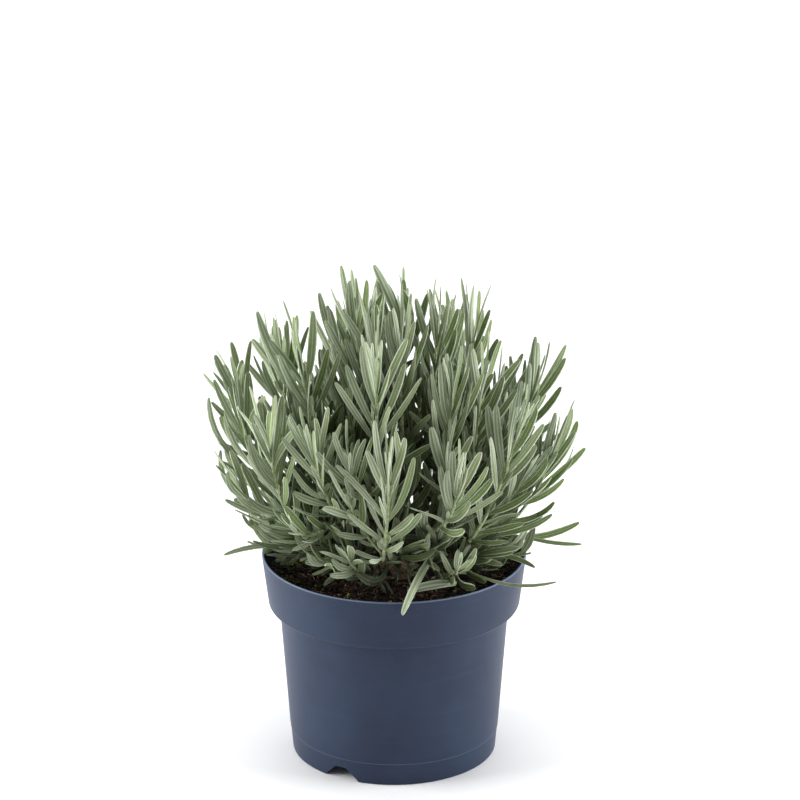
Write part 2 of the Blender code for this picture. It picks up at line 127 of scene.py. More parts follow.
# The plant, as the part grows it
SEED = 3
SECTORS = 14
WOOD_RADIUS = 1.35 * MM
TWIG_RADIUS = 0.95 * MM
TIP_RADIUS = 0.7 * MM
LEAF_WIDTH = 4.3 * MM
LEAF_KEEL = 0.6 * MM
LEAF_LIFT = 0.25 * MM
SPARE = 0.35 * MM
ROOT_OFFSET = 0.2 * MM
OWN_SHARE = 0.14
PATH_POINTS = 28
LEAF_PAIRS = {
    "tall": (0.1, 0.42, 0.7, 0.93),
    "wide": (0.1, 0.42, 0.7, 0.93),
    "low": (0.2, 0.6, 0.93),
}
WATERING_BOX = (Vector((-36, -50, 93.6)) * MM, Vector((-14, -37, 104)) * MM)

Shoot = namedtuple("Shoot", "name path wood leaf_length droop seed")
Leaf = namedtuple("Leaf", "root heading end side length width twist")


def spin_vector(azimuth):
    """Level direction at this azimuth, measured from the front towards +X."""
    return Vector((math.sin(azimuth), -math.cos(azimuth), 0))


# ---------------------------------------------------------------- growth

def bezier_path(start, start_heading, end, end_heading):
    """A smooth path of PATH_POINTS points between two headings."""
    reach = (end - start).length
    return interpolate_bezier(
        start,
        start + start_heading.normalized() * reach * 0.38,
        end - end_heading.normalized() * reach * 0.34,
        end,
        PATH_POINTS,
    )


def stretch(path, low, high, count):
    """Points evenly spaced along the path from one share of its length to another."""
    lengths = [0.0]
    for before, after in zip(path, path[1:]):
        lengths.append(lengths[-1] + (after - before).length)
    points = []
    for step in range(count):
        wanted = lengths[-1] * (low + (high - low) * step / (count - 1))
        beyond = (index for index, reached in enumerate(lengths) if reached >= wanted - 1e-12)
        place = max(1, next(beyond, len(lengths) - 1))
        share = (wanted - lengths[place - 1]) / (lengths[place] - lengths[place - 1])
        points.append(path[place - 1].lerp(path[place], share))
    return points


def place_on(path, share):
    """Point and heading at a share of the path's length."""
    low, point, high = stretch(path, max(0.0, share - 0.02), min(1.0, share + 0.02), 3)
    if share <= 0.02 or share >= 0.98:
        point = stretch(path, share, 1.0 if share < 1 else 0.99, 2)[0]
    return point, (high - low).normalized()


def grow_sector(index):
    """The three shoots of one woody stem: one tall, one leaning out and one low."""
    chance = random.Random(SEED * 1000 + index)
    azimuth = math.tau * (index + 0.5) / SECTORS + math.radians(chance.uniform(-3, 3))
    inner = index % 3 == 0
    outward = spin_vector(azimuth)
    root_angle = math.radians(34 if inner else 62)
    root_heading = outward * math.sin(root_angle) + UP * math.cos(root_angle)
    root = UP * SOIL_TOP + outward * (CROWN_RADIUS * math.sin(root_angle))
    root = root + UP * (CROWN_RISE * math.cos(root_angle))
    root += root_heading * (GAP + 0.25 * MM)

    # The tall shoot
    tall_spin = spin_vector(azimuth + math.radians(chance.uniform(-4, 4)))
    tall_radius = chance.uniform(13, 24) * MM if inner else chance.uniform(40, 57) * MM
    tall_height = chance.uniform(206, 214) * MM if inner else chance.uniform(190, 207) * MM
    lean = math.radians(4 if inner else chance.uniform(6, 16))
    tall = bezier_path(
        root,
        root_heading,
        tall_spin * tall_radius + UP * tall_height,
        tall_spin * math.sin(lean) + UP * math.cos(lean),
    )

    # The leaning shoot, which leaves the tall one a little above the crown
    fork, fork_heading = place_on(tall, 0.2 if inner else 0.14)
    wide_spin = spin_vector(azimuth + math.radians(chance.uniform(9, 15)))
    lean = math.radians(chance.uniform(6, 20))
    wide = bezier_path(
        fork,
        fork_heading * 0.4 + wide_spin,
        wide_spin * chance.uniform(70, 80) * MM + UP * chance.uniform(154, 180) * MM,
        wide_spin * math.sin(lean) + UP * math.cos(lean),
    )

    # The low shoot
    fork, fork_heading = place_on(tall, 0.11 if inner else 0.07)
    low_spin = spin_vector(azimuth - math.radians(chance.uniform(7, 12)))
    lean = math.radians(chance.uniform(28, 52))
    low = bezier_path(
        fork,
        fork_heading * 0.25 + low_spin,
        low_spin * chance.uniform(46, 59) * MM + UP * chance.uniform(112, 130) * MM,
        low_spin * math.sin(lean) + UP * math.cos(lean),
    )
    seeds = [chance.randrange(10**6) for _ in range(3)]
    return (
        Shoot("tall", tall, 0.42, 37 * MM, 0.0, seeds[0]),
        Shoot("wide", wide, 0.36, 35 * MM, 0.12, seeds[1]),
        Shoot("low", low, 0.34, 29 * MM, 0.62, seeds[2]),
    )


def leaf_point(leaf, share):
    """Point, heading and side direction at a share of the leaf's length."""
    knee = leaf.root + leaf.heading * leaf.length * 0.5
    tip = knee + leaf.end * leaf.length * 0.5
    point = leaf.root.lerp(knee, share).lerp(knee.lerp(tip, share), share)
    heading = leaf.heading.lerp(leaf.end, share).normalized()
    side = (leaf.side - heading * leaf.side.dot(heading)).normalized()
    side.rotate(Quaternion(heading, leaf.twist * share))
    return point, heading, side


def leaf_width(share):
    """Half width as a share of the full one: narrow at the base, widest past the middle, blunt at the tip."""
    if share < 0.62:
        return 0.5 * (0.36 + 0.64 * math.sin(share / 0.62 * math.pi / 2))
    return 0.5 * math.sqrt(max(0.0, 1 - ((share - 0.62) / 0.38) ** 2.6))


def leaf_body(leaf, low=0.0, spare=0.0, keel=LEAF_KEEL, lift=LEAF_LIFT):
    """Corners and triangles of a keeled blade: three corners in each section and a point at the tip."""
    shares = (low, 0.4, 0.88)
    corners = []
    for share in shares:
        point, heading, side = leaf_point(leaf, share)
        across = side * (leaf.width * leaf_width(share) + spare)
        normal = side.cross(heading)
        corners += [
            point - across + normal * (lift + spare),
            point + across + normal * (lift + spare),
            point - normal * (keel + spare),
        ]
    point, heading, side = leaf_point(leaf, 1.0)
    corners.append(point + heading * spare)
    quads = []
    for ring in range(len(shares) - 1):
        for corner in range(3):
            here, there = ring * 3 + corner, ring * 3 + (corner + 1) % 3
            quads.append((here, there, there + 3, here + 3))
    last = (len(shares) - 1) * 3
    triangles = [(last + corner, last + (corner + 1) % 3, len(corners) - 1) for corner in range(3)]
    return corners, quads + triangles + [(2, 1, 0)]


def tube_body(points, radius, sides=6):
    """Corners and faces of a plain tube, used only to keep leaves off the shoots."""
    corners, faces = [], []
    for index, point in enumerate(points):
        heading = points[min(index + 1, len(points) - 1)] - points[max(index - 1, 0)]
        across = heading.cross(Vector((0.31, 0.17, 0.05))).normalized()
        for side in range(sides):
            spin = Quaternion(heading.normalized(), math.tau * side / sides)
            corners.append(point + spin @ across * radius)
    for ring in range(len(points) - 1):
        for side in range(sides):
            here, there = ring * sides + side, ring * sides + (side + 1) % sides
            faces.append((here, there, there + sides, here + sides))
    return corners, faces


class Crowd:
    """Everything grown so far, and whether a new leaf would be clear of it."""

    def __init__(self):
        self.lows = np.zeros((0, 3))
        self.highs = np.zeros((0, 3))
        self.placed = []

    def add(self, owner, corners, faces, trimmed=None):
        tree = BVHTree.FromPolygons(corners, faces)
        self.lows = np.vstack([self.lows, np.min(corners, axis=0)])
        self.highs = np.vstack([self.highs, np.max(corners, axis=0)])
        self.placed.append((owner, tree, trimmed or tree))

    def forget_own(self):
        """Lets the last piece's own tuft touch it, because the tuft's leaves spring from it."""
        self.placed[-1] = self.placed[-1][:2] + (None,)

    def is_clear(self, owner, corners, faces, trimmed):
        low, high = np.min(corners, axis=0), np.max(corners, axis=0)
        near = np.flatnonzero(((self.lows <= high) & (low <= self.highs)).all(axis=1))
        tree = BVHTree.FromPolygons(corners, faces) if len(near) else None
        for other, other_tree, other_trimmed in (self.placed[index] for index in near):
            if other == owner:
                if other_trimmed is not None and trimmed.overlap(other_trimmed):
                    return False
            elif tree.overlap(other_tree):
                return False
        return True


def pot_inner_radius(height):
    if height > POT_HEIGHT - BAND_HEIGHT:
        share = (POT_HEIGHT - height) / BAND_HEIGHT
        return RIM_RADIUS - WALL - (RIM_RADIUS - BAND_FOOT_RADIUS) * share
    return BODY_TOP_RADIUS - WALL


def misses_pot(corners):
    """True where no corner is in the soil, in the pot's wall or in the space kept for watering."""
    for corner in corners:
        radius = math.hypot(corner.x, corner.y)
        if radius < RIM_RADIUS + 1.2 * MM and corner.z < SOIL_TOP + 2.2 * MM:
            return False
        if radius > pot_inner_radius(corner.z) - 1.5 * MM and corner.z < POT_HEIGHT + 0.8 * MM:
            if radius < RIM_RADIUS + 1.2 * MM:
                return False
        if corner.z < SOIL_TOP - 12 * MM:
            return False
        low, high = WATERING_BOX
        if all(low[k] - 1.5 * MM < corner[k] < high[k] + 1.5 * MM for k in range(3)):
            return False
    return True


def try_leaf(shoot, share, turn, spread, length, chance):
    """One leaf on a shoot, at this share of its whole path, turned by this angle about it."""
    root, axis = place_on(shoot.path, share)
    radial = axis.orthogonal().normalized()
    radial.rotate(Quaternion(axis, turn))
    heading = axis * math.cos(spread) + radial * math.sin(spread)
    outward = Vector((root.x, root.y, 0)).normalized()
    lift = chance.uniform(0.35, 0.95) * (1 - shoot.droop)
    sag = shoot.droop * chance.uniform(-0.4, 0.7)
    end = heading + axis * lift * 0.5 + UP * lift + outward * sag - UP * sag * 0.8
    end.rotate(Quaternion(radial, chance.uniform(-0.22, 0.22)))
    end.normalize()
    side = heading.cross(axis).normalized()
    root = root + radial * ROOT_OFFSET
    width = LEAF_WIDTH * chance.uniform(0.84, 1.1)
    return Leaf(root, heading, end, side, length, width, chance.uniform(-0.7, 0.7))


def place_leaf(crowd, owner, shoot, share, turn, spread, length, chance, tries=14):
    """The first try that is clear of the pot and of everything grown so far, or None."""
    for attempt in range(tries):
        wander = 0.05 + 0.05 * attempt
        leaf = try_leaf(
            shoot,
            share,
            turn + chance.uniform(-wander, wander) * 1.6,
            spread * chance.uniform(1 - wander, 1 + wander),
            length * chance.uniform(0.86, 1.08) * (1 - 0.02 * attempt),
            chance,
        )
        corners, faces = leaf_body(leaf, 0.0, SPARE)
        if not misses_pot([leaf_point(leaf, s / 8)[0] for s in range(9)] + corners):
            continue
        trimmed = BVHTree.FromPolygons(*leaf_body(leaf, OWN_SHARE, SPARE))
        if crowd.is_clear(owner, corners, faces, trimmed):
            crowd.add(owner, corners, faces, trimmed)
            return leaf
    return None


def grow_plant():
    """Every shoot with its leaves, in order: {name: (shoot, [leaf, ...])}."""
    crowd = Crowd()
    shoots = {}
    for index in range(SECTORS):
        for shoot in grow_sector(index):
            shoots[f"{index + 1:02d}_{shoot.name}"] = shoot
    for name, shoot in shoots.items():
        corners, faces = tube_body(stretch(shoot.path, 0, 1, 12), WOOD_RADIUS + SPARE)
        crowd.add(name, corners, faces)
        crowd.forget_own()
    plant = {name: (shoot, []) for name, shoot in shoots.items()}
    for name, (shoot, leaves) in plant.items():
        chance = random.Random(shoot.seed)
        start = chance.uniform(0, math.tau)
        for pair, place in enumerate(LEAF_PAIRS[shoot.name]):
            share = shoot.wood + (1 - shoot.wood) * place
            spread = math.radians(52 - 36 * place)
            length = shoot.leaf_length * (0.66 + 0.34 * min(1.0, place * 1.5))
            for half in range(2):
                turn = start + math.pi / 2 * pair + math.pi * half
                leaf = place_leaf(crowd, name, shoot, share, turn, spread, length, chance)
                if leaf:
                    leaves.append(leaf)
    return plant


# ---------------------------------------------------------------- the smaller leaves and side twigs

# A leaf's age also sets how much painted shade darkens its colour in the leaf material
Blade = namedtuple("Blade", "leaf age")  # age: 0 a young leaf at the top, 1 an old one near the soil

THIN_KEEL = 0.22 * MM
THIN_SPARE = 0.1 * MM

# Pairs on the green end of a shoot, as (share of it, length as a share of the shoot's leaf length)
LONG_SHOOT_PAIRS = (
    (0.02, 0.7), (0.2, 0.86), (0.31, 0.98), (0.52, 1.05), (0.61, 1.08), (0.8, 1.05), (0.87, 1.0), (0.97, 0.9),
)
FILL_PAIRS = {
    "tall": LONG_SHOOT_PAIRS,
    "wide": LONG_SHOOT_PAIRS,
    "low": ((0.05, 0.7), (0.34, 0.9), (0.48, 0.95), (0.74, 0.95), (0.85, 0.85)),
    "side": ((0.16, 0.7), (0.34, 0.9), (0.52, 1.05), (0.7, 1.1), (0.85, 1.05), (0.96, 0.95)),
}


def thin_body(leaf, low=0.0):
    """The leaf as it really is, a thin blade, for finding free space."""
    return leaf_body(leaf, low, THIN_SPARE, THIN_KEEL, 0.1 * MM)


# The plant's outline in millimetres, as heights and the greatest distance from the axis at each: narrow over
# the rim, widest halfway up
OUTLINE_HEIGHTS = (104, 118, 130, 146, 165, 195, 220, 236, 249)
OUTLINE_RADII = (64, 70, 78, 88, 94, 93, 80, 58, 30)


def inside_outline(leaf):
    """Whether the leaf's outer half stays within the plant's outline and under the part's own top."""
    for share in (0.5, 0.8, 1.0):
        point = leaf_point(leaf, share)[0]
        reach = np.interp(point.z / MM, OUTLINE_HEIGHTS, OUTLINE_RADII) * MM
        if math.hypot(point.x, point.y) > reach or point.z > cad_high.z + 2 * MM:
            return False
    return True


def add_blade(crowd, name, shoot, share, turn, spread, length, age, chance, blades, tries=10):
    """Grows one leaf clear of the pot and of every other leaf, and adds it to the shoot's blades."""
    for attempt in range(tries):
        wander = 0.07 + 0.06 * attempt
        leaf = try_leaf(
            shoot,
            share,
            turn + chance.uniform(-wander, wander) * 1.8,
            spread * chance.uniform(1 - wander, 1 + wander),
            length * chance.uniform(0.82, 1.1) * (1 - 0.03 * attempt),
            chance,
        )
        slim = chance.uniform(0.7, 1.0) * min(1.0, 0.42 + 0.58 * length / (30 * MM))
        leaf.end.rotate(Quaternion(leaf.side, chance.gauss(0, 0.28)))
        leaf = leaf._replace(width=leaf.width * slim)
        if shoot.droop > 0.3 and chance.random() < 0.45:
            leaf = leaf._replace(end=(leaf.end + UP * chance.uniform(0.6, 1.9)).normalized())
        if not inside_outline(leaf):
            continue
        corners, faces = thin_body(leaf)
        if not misses_pot([leaf_point(leaf, s / 8)[0] for s in range(9)] + corners):
            continue
        trimmed = BVHTree.FromPolygons(*thin_body(leaf, OWN_SHARE))
        if crowd.is_clear(name, corners, faces, trimmed):
            crowd.add(name, corners, faces, trimmed)
            blades.append(Blade(leaf, age))
            return True
    return False


def side_twig(crowd, name, shoot, share, turn, reach, chance, tries=6):
    """A short green twig that leaves the shoot where its path is clear, or None."""
    for _attempt in range(tries):
        turn += chance.uniform(-0.5, 0.5)
        root, axis = place_on(shoot.path, share)
        radial = axis.orthogonal().normalized()
        radial.rotate(Quaternion(axis, turn))
        end = root + (axis * 0.82 + radial * chance.uniform(0.4, 0.62)) * reach * chance.uniform(0.85, 1.15)
        end_heading = axis + radial * 0.15 + UP * 0.3 * (1 - shoot.droop)
        path = bezier_path(root, axis * 0.6 + radial, end, end_heading)
        corners, faces = tube_body(stretch(path, 0.12, 1, 8), TIP_RADIUS + THIN_SPARE)
        if not misses_pot(corners):
            continue
        trimmed = BVHTree.FromPolygons(*tube_body(stretch(path, 0.25, 1, 8), TIP_RADIUS + THIN_SPARE))
        if crowd.is_clear(name, corners, faces, trimmed):
            crowd.add(name, corners, faces)
            crowd.forget_own()
            seed = chance.randrange(10**6)
            return Shoot("side", path, 0.0, 0.78 * shoot.leaf_length, shoot.droop * 0.7, seed)
    return None


def dress_shoot(crowd, name, shoot, ageing, blades):
    """Pairs along the shoot, small leaves in their axils and a few upright ones round its tip."""
    chance = random.Random(shoot.seed + 7)
    start = chance.uniform(0, math.tau)
    for tip_leaf in range(4):
        turn = start + math.tau * tip_leaf / 4
        length = shoot.leaf_length * chance.uniform(0.5, 0.8)
        add_blade(crowd, name, shoot, 0.995, turn, math.radians(9), length, ageing * 0.2, chance, blades)
    for pair, (place, size) in enumerate(FILL_PAIRS[shoot.name]):
        share = shoot.wood + (1 - shoot.wood) * place
        spread = math.radians(54 - 37 * place)
        age = ageing * (1 - 0.7 * place)
        for half in range(2):
            turn = start + 0.9 + math.pi / 2 * pair + math.pi * half
            length = shoot.leaf_length * size
            add_blade(crowd, name, shoot, share, turn, spread, length, age, chance, blades)
            small = shoot.leaf_length * chance.uniform(0.22, 0.42)
            turn += chance.choice((-1, 1)) * chance.uniform(0.4, 0.9)
            add_blade(
                crowd, name, shoot, share + 0.01, turn, spread * 0.7, small, age * 0.5, chance, blades, 4
            )


def dress_wood(crowd, name, shoot, blades):
    """Short old leaves that are still on the woody part."""
    chance = random.Random(shoot.seed + 11)
    for _leaf in range(9):
        share = shoot.wood * chance.uniform(0.35, 0.98)
        spread = math.radians(chance.uniform(30, 75))
        length = chance.uniform(9, 23) * MM
        turn = chance.uniform(0, math.tau)
        add_blade(crowd, name, shoot, share, turn, spread, length, 1.0, chance, blades, 5)


# Leaves that give this plant its own look, in millimetres: where each springs from, the way it starts and
# the way it ends, its length and width, and its age
SINGLE_LEAVES = (
    # The strap that hangs over the front rim, and the leaves that lie on the mix beside it
    ((21, -37, 119), (-0.33, -0.8, -0.1), (-0.4, -0.62, -0.8), 46, 7.0, 0.5),
    ((30, -46, 105), (-0.6, -0.5, 0.25), (-0.95, -0.05, -0.3), 28, 5.0, 0.2),
    ((-2, -37, 113), (-0.25, -0.45, -0.85), (-0.75, -0.1, 0.8), 34, 4.8, 0.1),
    ((-16, -35, 110), (-0.6, -0.5, 0.1), (-0.7, -0.4, -0.6), 24, 3.2, 0.6),
    ((30, -40, 109), (0.1, -0.25, -0.95), (0.92, -0.1, 0.1), 17, 4.8, 0.2),
    ((24, -42, 131), (-0.85, -0.25, -0.35), (-0.9, 0.1, 0.35), 32, 4.2, 0.6),
    ((12, -40, 112), (-0.5, -0.7, 0.3), (0.25, -0.75, -0.6), 22, 3.6, 0.7),
    ((-24, -38, 121), (-0.4, -0.6, -0.45), (-0.95, -0.1, 0.25), 26, 3.6, 0.6),
    ((2, -41, 118), (0.7, -0.55, -0.1), (0.6, -0.3, 0.6), 24, 3.4, 0.4),
    # Thin ones that arch over the rim on the right
    ((35, -41, 110), (0.85, -0.3, -0.36), (0.95, 0.18, 0.16), 47, 1.9, 0.8),
    ((60, -14, 117), (0.95, -0.1, -0.2), (0.9, 0.05, -0.05), 32, 2.3, 0.6),
    ((52, -8, 115), (0.93, -0.05, -0.2), (0.85, 0.05, 0.5), 42, 3.9, 0.4),
    ((47, -24, 111), (0.9, -0.3, 0.15), (0.85, -0.2, -0.5), 24, 2.6, 0.7),
    ((44, -30, 124), (0.85, -0.3, 0.1), (0.75, -0.1, 0.65), 38, 3.4, 0.5),
    # Long arching ones on the left, the lowest over the rim
    ((-44, -12, 109), (-0.93, -0.12, 0.3), (-0.95, 0.0, -0.42), 42, 3.0, 0.7),
    ((-52, -6, 122), (-0.95, 0.0, 0.1), (-0.8, 0.0, 0.5), 33, 3.0, 0.6),
    ((-72, 2, 146), (-0.75, 0.0, 0.6), (0.0, 0.0, 1.0), 46, 3.0, 0.2),
    ((-71, -8, 132), (-0.8, 0.0, 0.5), (0.12, 0.0, 1.0), 36, 2.6, 0.3),
    ((-62, -4, 150), (-0.75, -0.1, 0.6), (-0.1, 0.0, 1.0), 42, 3.2, 0.2),
)


def place_single_leaves(crowd, plant, dressed):
    """Adds the leaves above, each to the tuft whose shoot passes nearest to where it springs from."""
    chance = random.Random(77)
    for root, heading, end, length, width, age in SINGLE_LEAVES:
        root = Vector(root) * MM
        heading, end = Vector(heading).normalized(), Vector(end).normalized()
        side = heading.cross(UP).normalized()
        leaf = Leaf(root, heading, end, side, length * MM, width * MM, chance.uniform(-0.25, 0.25))
        gaps = {
            name: min((point - root).length for point in stretch(shoot.path, shoot.wood, 1, 12))
            for name, (shoot, _leaves) in plant.items()
        }
        nearest = min(gaps, key=gaps.get)
        crowd.add(nearest, *thin_body(leaf))
        dressed[nearest][1].append(Blade(leaf, age))


def dress_plant(plant):
    """Every leaf and side twig of the finished plant: {name: ([side twig, ...], [Blade, ...])}."""
    crowd = Crowd()
    dressed = {name: ([], []) for name in plant}
    for name, (shoot, _leaves) in plant.items():
        crowd.add(name, *tube_body(stretch(shoot.path, 0, 1, 12), TWIG_RADIUS + THIN_SPARE))
        crowd.forget_own()
    for name, (shoot, leaves) in plant.items():
        ageing = 1.0 if shoot.name == "low" else 0.6
        for leaf in leaves:
            leaf = leaf._replace(width=leaf.width * 0.86)
            crowd.add(name, *thin_body(leaf), BVHTree.FromPolygons(*thin_body(leaf, OWN_SHARE)))
            dressed[name][1].append(Blade(leaf, ageing * 0.5))
    place_single_leaves(crowd, plant, dressed)
    for name, (shoot, _leaves) in plant.items():
        chance = random.Random(shoot.seed + 3)
        shares = (0.3, 0.52) if shoot.name == "tall" else (0.42,)
        for share in shares:
            reach = chance.uniform(26, 40) * MM
            twig = side_twig(crowd, name, shoot, share, chance.uniform(0, math.tau), reach, chance)
            if twig:
                dressed[name][0].append(twig)
    for name, (shoot, _leaves) in plant.items():
        twigs, blades = dressed[name]
        ageing = 1.0 if shoot.name == "low" else 0.6
        dress_shoot(crowd, name, shoot, ageing, blades)
        for twig in twigs:
            dress_shoot(crowd, name, twig, ageing, blades)
        dress_wood(crowd, name, shoot, blades)
    return dressed


# ---------------------------------------------------------------- Blender helpers

def add_object(name, data):
    obj = bpy.data.objects.new(name, data)
    bpy.context.scene.collection.objects.link(obj)
    return obj


def from_bmesh(name, shape):
    """An object with this bmesh as its mesh."""
    mesh = bpy.data.meshes.new(name)
    shape.to_mesh(mesh)
    shape.free()
    return add_object(name, mesh)


def turned(name, profile, sides):
    """A profile of (radius, height) points turned about Z, as a plain closed mesh object."""
    shape = bmesh.new()
    points = [shape.verts.new((radius, 0, height)) for radius, height in profile]
    for before, after in zip(points, points[1:]):
        shape.edges.new((before, after))
    obj = from_bmesh(name, shape)
    screw = obj.modifiers.new("turn", "SCREW")
    screw.steps = sides
    screw.render_steps = sides
    screw.use_merge_vertices = True
    screw.merge_threshold = 0.01 * MM
    return settled(obj)


def settled(obj):
    """The object as a plain mesh of what it evaluates to, under the same name."""
    bpy.context.view_layer.update()
    mesh = bpy.data.meshes.new_from_object(obj.evaluated_get(bpy.context.evaluated_depsgraph_get()))
    name = obj.name
    bpy.data.objects.remove(obj)
    mesh.name = name
    return add_object(name, mesh)


def cut_out(obj, cutters):
    """Cuts the cutters from a mesh object and removes them."""
    helpers = bpy.data.collections.new("cutters")
    bpy.context.scene.collection.children.link(helpers)
    for cutter in cutters:
        helpers.objects.link(cutter)
    boolean = obj.modifiers.new("cut", "BOOLEAN")
    boolean.operation = "DIFFERENCE"
    boolean.operand_type = "COLLECTION"
    boolean.collection = helpers
    made = settled(obj)
    for cutter in cutters:
        bpy.data.objects.remove(cutter)
    bpy.data.collections.remove(helpers)
    return made


def arc(centre_radius, centre_height, round_radius, start, end, steps):
    """Profile points of an arc, from one angle to another, in degrees from outwards to upwards."""
    points = []
    for step in range(steps + 1):
        angle = math.radians(start + (end - start) * step / steps)
        points.append(
            (centre_radius + round_radius * math.cos(angle), centre_height + round_radius * math.sin(angle))
        )
    return points


def coat(piece, material):
    """Smooth shading, and this one material all over the piece."""
    piece.data.shade_smooth()
    piece.data.materials.clear()
    piece.data.materials.append(material)


def finish_piece(piece, slot, *nodes):
    """Puts the piece in the root body and hides the frame's parts it stands for; the slot is not used."""
    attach(piece, "root")
    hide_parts(*nodes)


def srgb(code):
    """A linear colour from an sRGB hex code."""
    channels = [int(code[i:i + 2], 16) / 255 for i in (1, 3, 5)]
    return (*[c / 12.92 if c <= 0.04045 else ((c + 0.055) / 1.055) ** 2.4 for c in channels], 1.0)


# Short names for the kinds of node that are used most, with their settings
KINDS = {
    "soft step": ("ShaderNodeMapRange", {"interpolation_type": "SMOOTHSTEP"}),
    "colour mix": ("ShaderNodeMix", {"data_type": "RGBA"}),
    "colour ramp": ("ShaderNodeValToRGB", {}),
    "circle": ("GeometryNodeCurvePrimitiveCircle", {"mode": "RADIUS"}),
    "stored": ("GeometryNodeInputNamedAttribute", {}),
    "store": ("GeometryNodeStoreNamedAttribute", {}),
    "sweep": ("GeometryNodeCurveToMesh", {}),
    "move": ("GeometryNodeSetPosition", {}),
    "random": ("FunctionNodeRandomValue", {}),
}


def fill(tree, node, *inputs):
    """Sets a node's inputs, in order or by name, to values, hex colours or other nodes' outputs."""
    sockets = [socket for socket in node.inputs if socket.enabled]
    for place, given in enumerate(inputs):
        for key, value in (given if isinstance(given, dict) else {place: given}).items():
            socket = sockets[key] if isinstance(key, int) else next(s for s in sockets if s.name == key)
            for one in value if isinstance(value, list) else [value]:
                if isinstance(one, bpy.types.NodeSocket):
                    tree.links.new(one, socket)
                elif isinstance(one, str) and one.startswith("#"):
                    socket.default_value = srgb(one)
                else:
                    socket.default_value = one


def put(tree, kind, *inputs, output=None, stops=(), **settings):
    """Adds a node with its settings and links, and returns one of its outputs.

    The kind is one of KINDS, a Math node's operation in capitals, or Blender's own name. The stops are a
    colour ramp's, each a place and a hex colour.
    """
    kind, usual = KINDS.get(kind, ("ShaderNodeMath", {"operation": kind}) if kind.isupper() else (kind, {}))
    node = tree.nodes.new(kind)
    for name, value in {**usual, **settings}.items():
        setattr(node, name, value)
    fill(tree, node, *inputs)
    if stops:
        ramp = node.color_ramp.elements
        while len(ramp) < len(stops):
            ramp.new(0.5)
        for element, (place, colour) in zip(ramp, stops):
            element.position = place
            element.color = srgb(colour)
    return next(s for s in node.outputs if s.enabled and (output is None or s.name == output))


# ---------------------------------------------------------------- materials

def new_material(name):
    """A material and its tree, which holds its surface shader and its output."""
    material = bpy.data.materials.new(name)
    material.use_nodes = True
    return material, material.node_tree


def surface(tree, colour, sockets, relief=None, strength=0.0, depth=0.0):
    """Sets the shader's colour, its other sockets by name, and its relief as a bump of this depth."""
    sockets = {"Base Color": colour, **sockets}
    if relief is not None:
        bump = {"Height": relief, "Strength": strength, "Distance": depth}
        sockets["Normal"] = put(tree, "ShaderNodeBump", bump)
    fill(tree, tree.nodes["Principled BSDF"], sockets)


def grain(tree, size, detail=3.0, roughness=0.55, where=None, distortion=0.0):
    """A pattern fixed to the piece, whose lumps are about this size, in metres."""
    where = where or put(tree, "ShaderNodeTexCoord", output="Object")
    return put(tree, "ShaderNodeTexNoise", {
        "Vector": where, "Scale": 1 / size, "Detail": detail, "Roughness": roughness,
        "Distortion": distortion,
    })


def own(tree, *names):
    """Numbers that are stored on the piece's own points."""
    return [put(tree, "ShaderNodeAttribute", output="Fac", attribute_name=name) for name in names]


def tinted(tree, colour, *layers):
    """Lays tints over a colour, each with its mask and how much of it shows."""
    for mask, strength, tint in layers:
        colour = put(tree, "colour mix", put(tree, "MULTIPLY", mask, strength), colour, tint)
    return colour


# Colours across half a leaf, from its midrib to its rolled edge
FRESH_BLADE = (
    (0.0, "#a3b288"), (0.09, "#94a676"), (0.19, "#5c7332"), (0.42, "#7a9149"), (0.6, "#688038"),
    (0.72, "#9aab83"), (0.82, "#d3d9ca"),
)
SILVER_BLADE = (
    (0.0, "#b5bfa3"), (0.1, "#a3af8f"), (0.2, "#768753"), (0.45, "#91a070"), (0.62, "#7e905a"),
    (0.74, "#aeb99e"), (0.84, "#d5dbcd"),
)
DOWNY_BACK = ((0.0, "#c3ccb4"), (0.16, "#b4bea3"), (0.28, "#82916b"), (0.6, "#9aa786"), (0.84, "#d0d6c6"))

# The middle of the plant, where leaves shade each other and painted shade darkens their colour: its height,
# and how far from it the painted shade is full and none
HEART_HEIGHT = 145 * MM
HEART_DARK = 34 * MM
HEART_LIGHT = 82 * MM


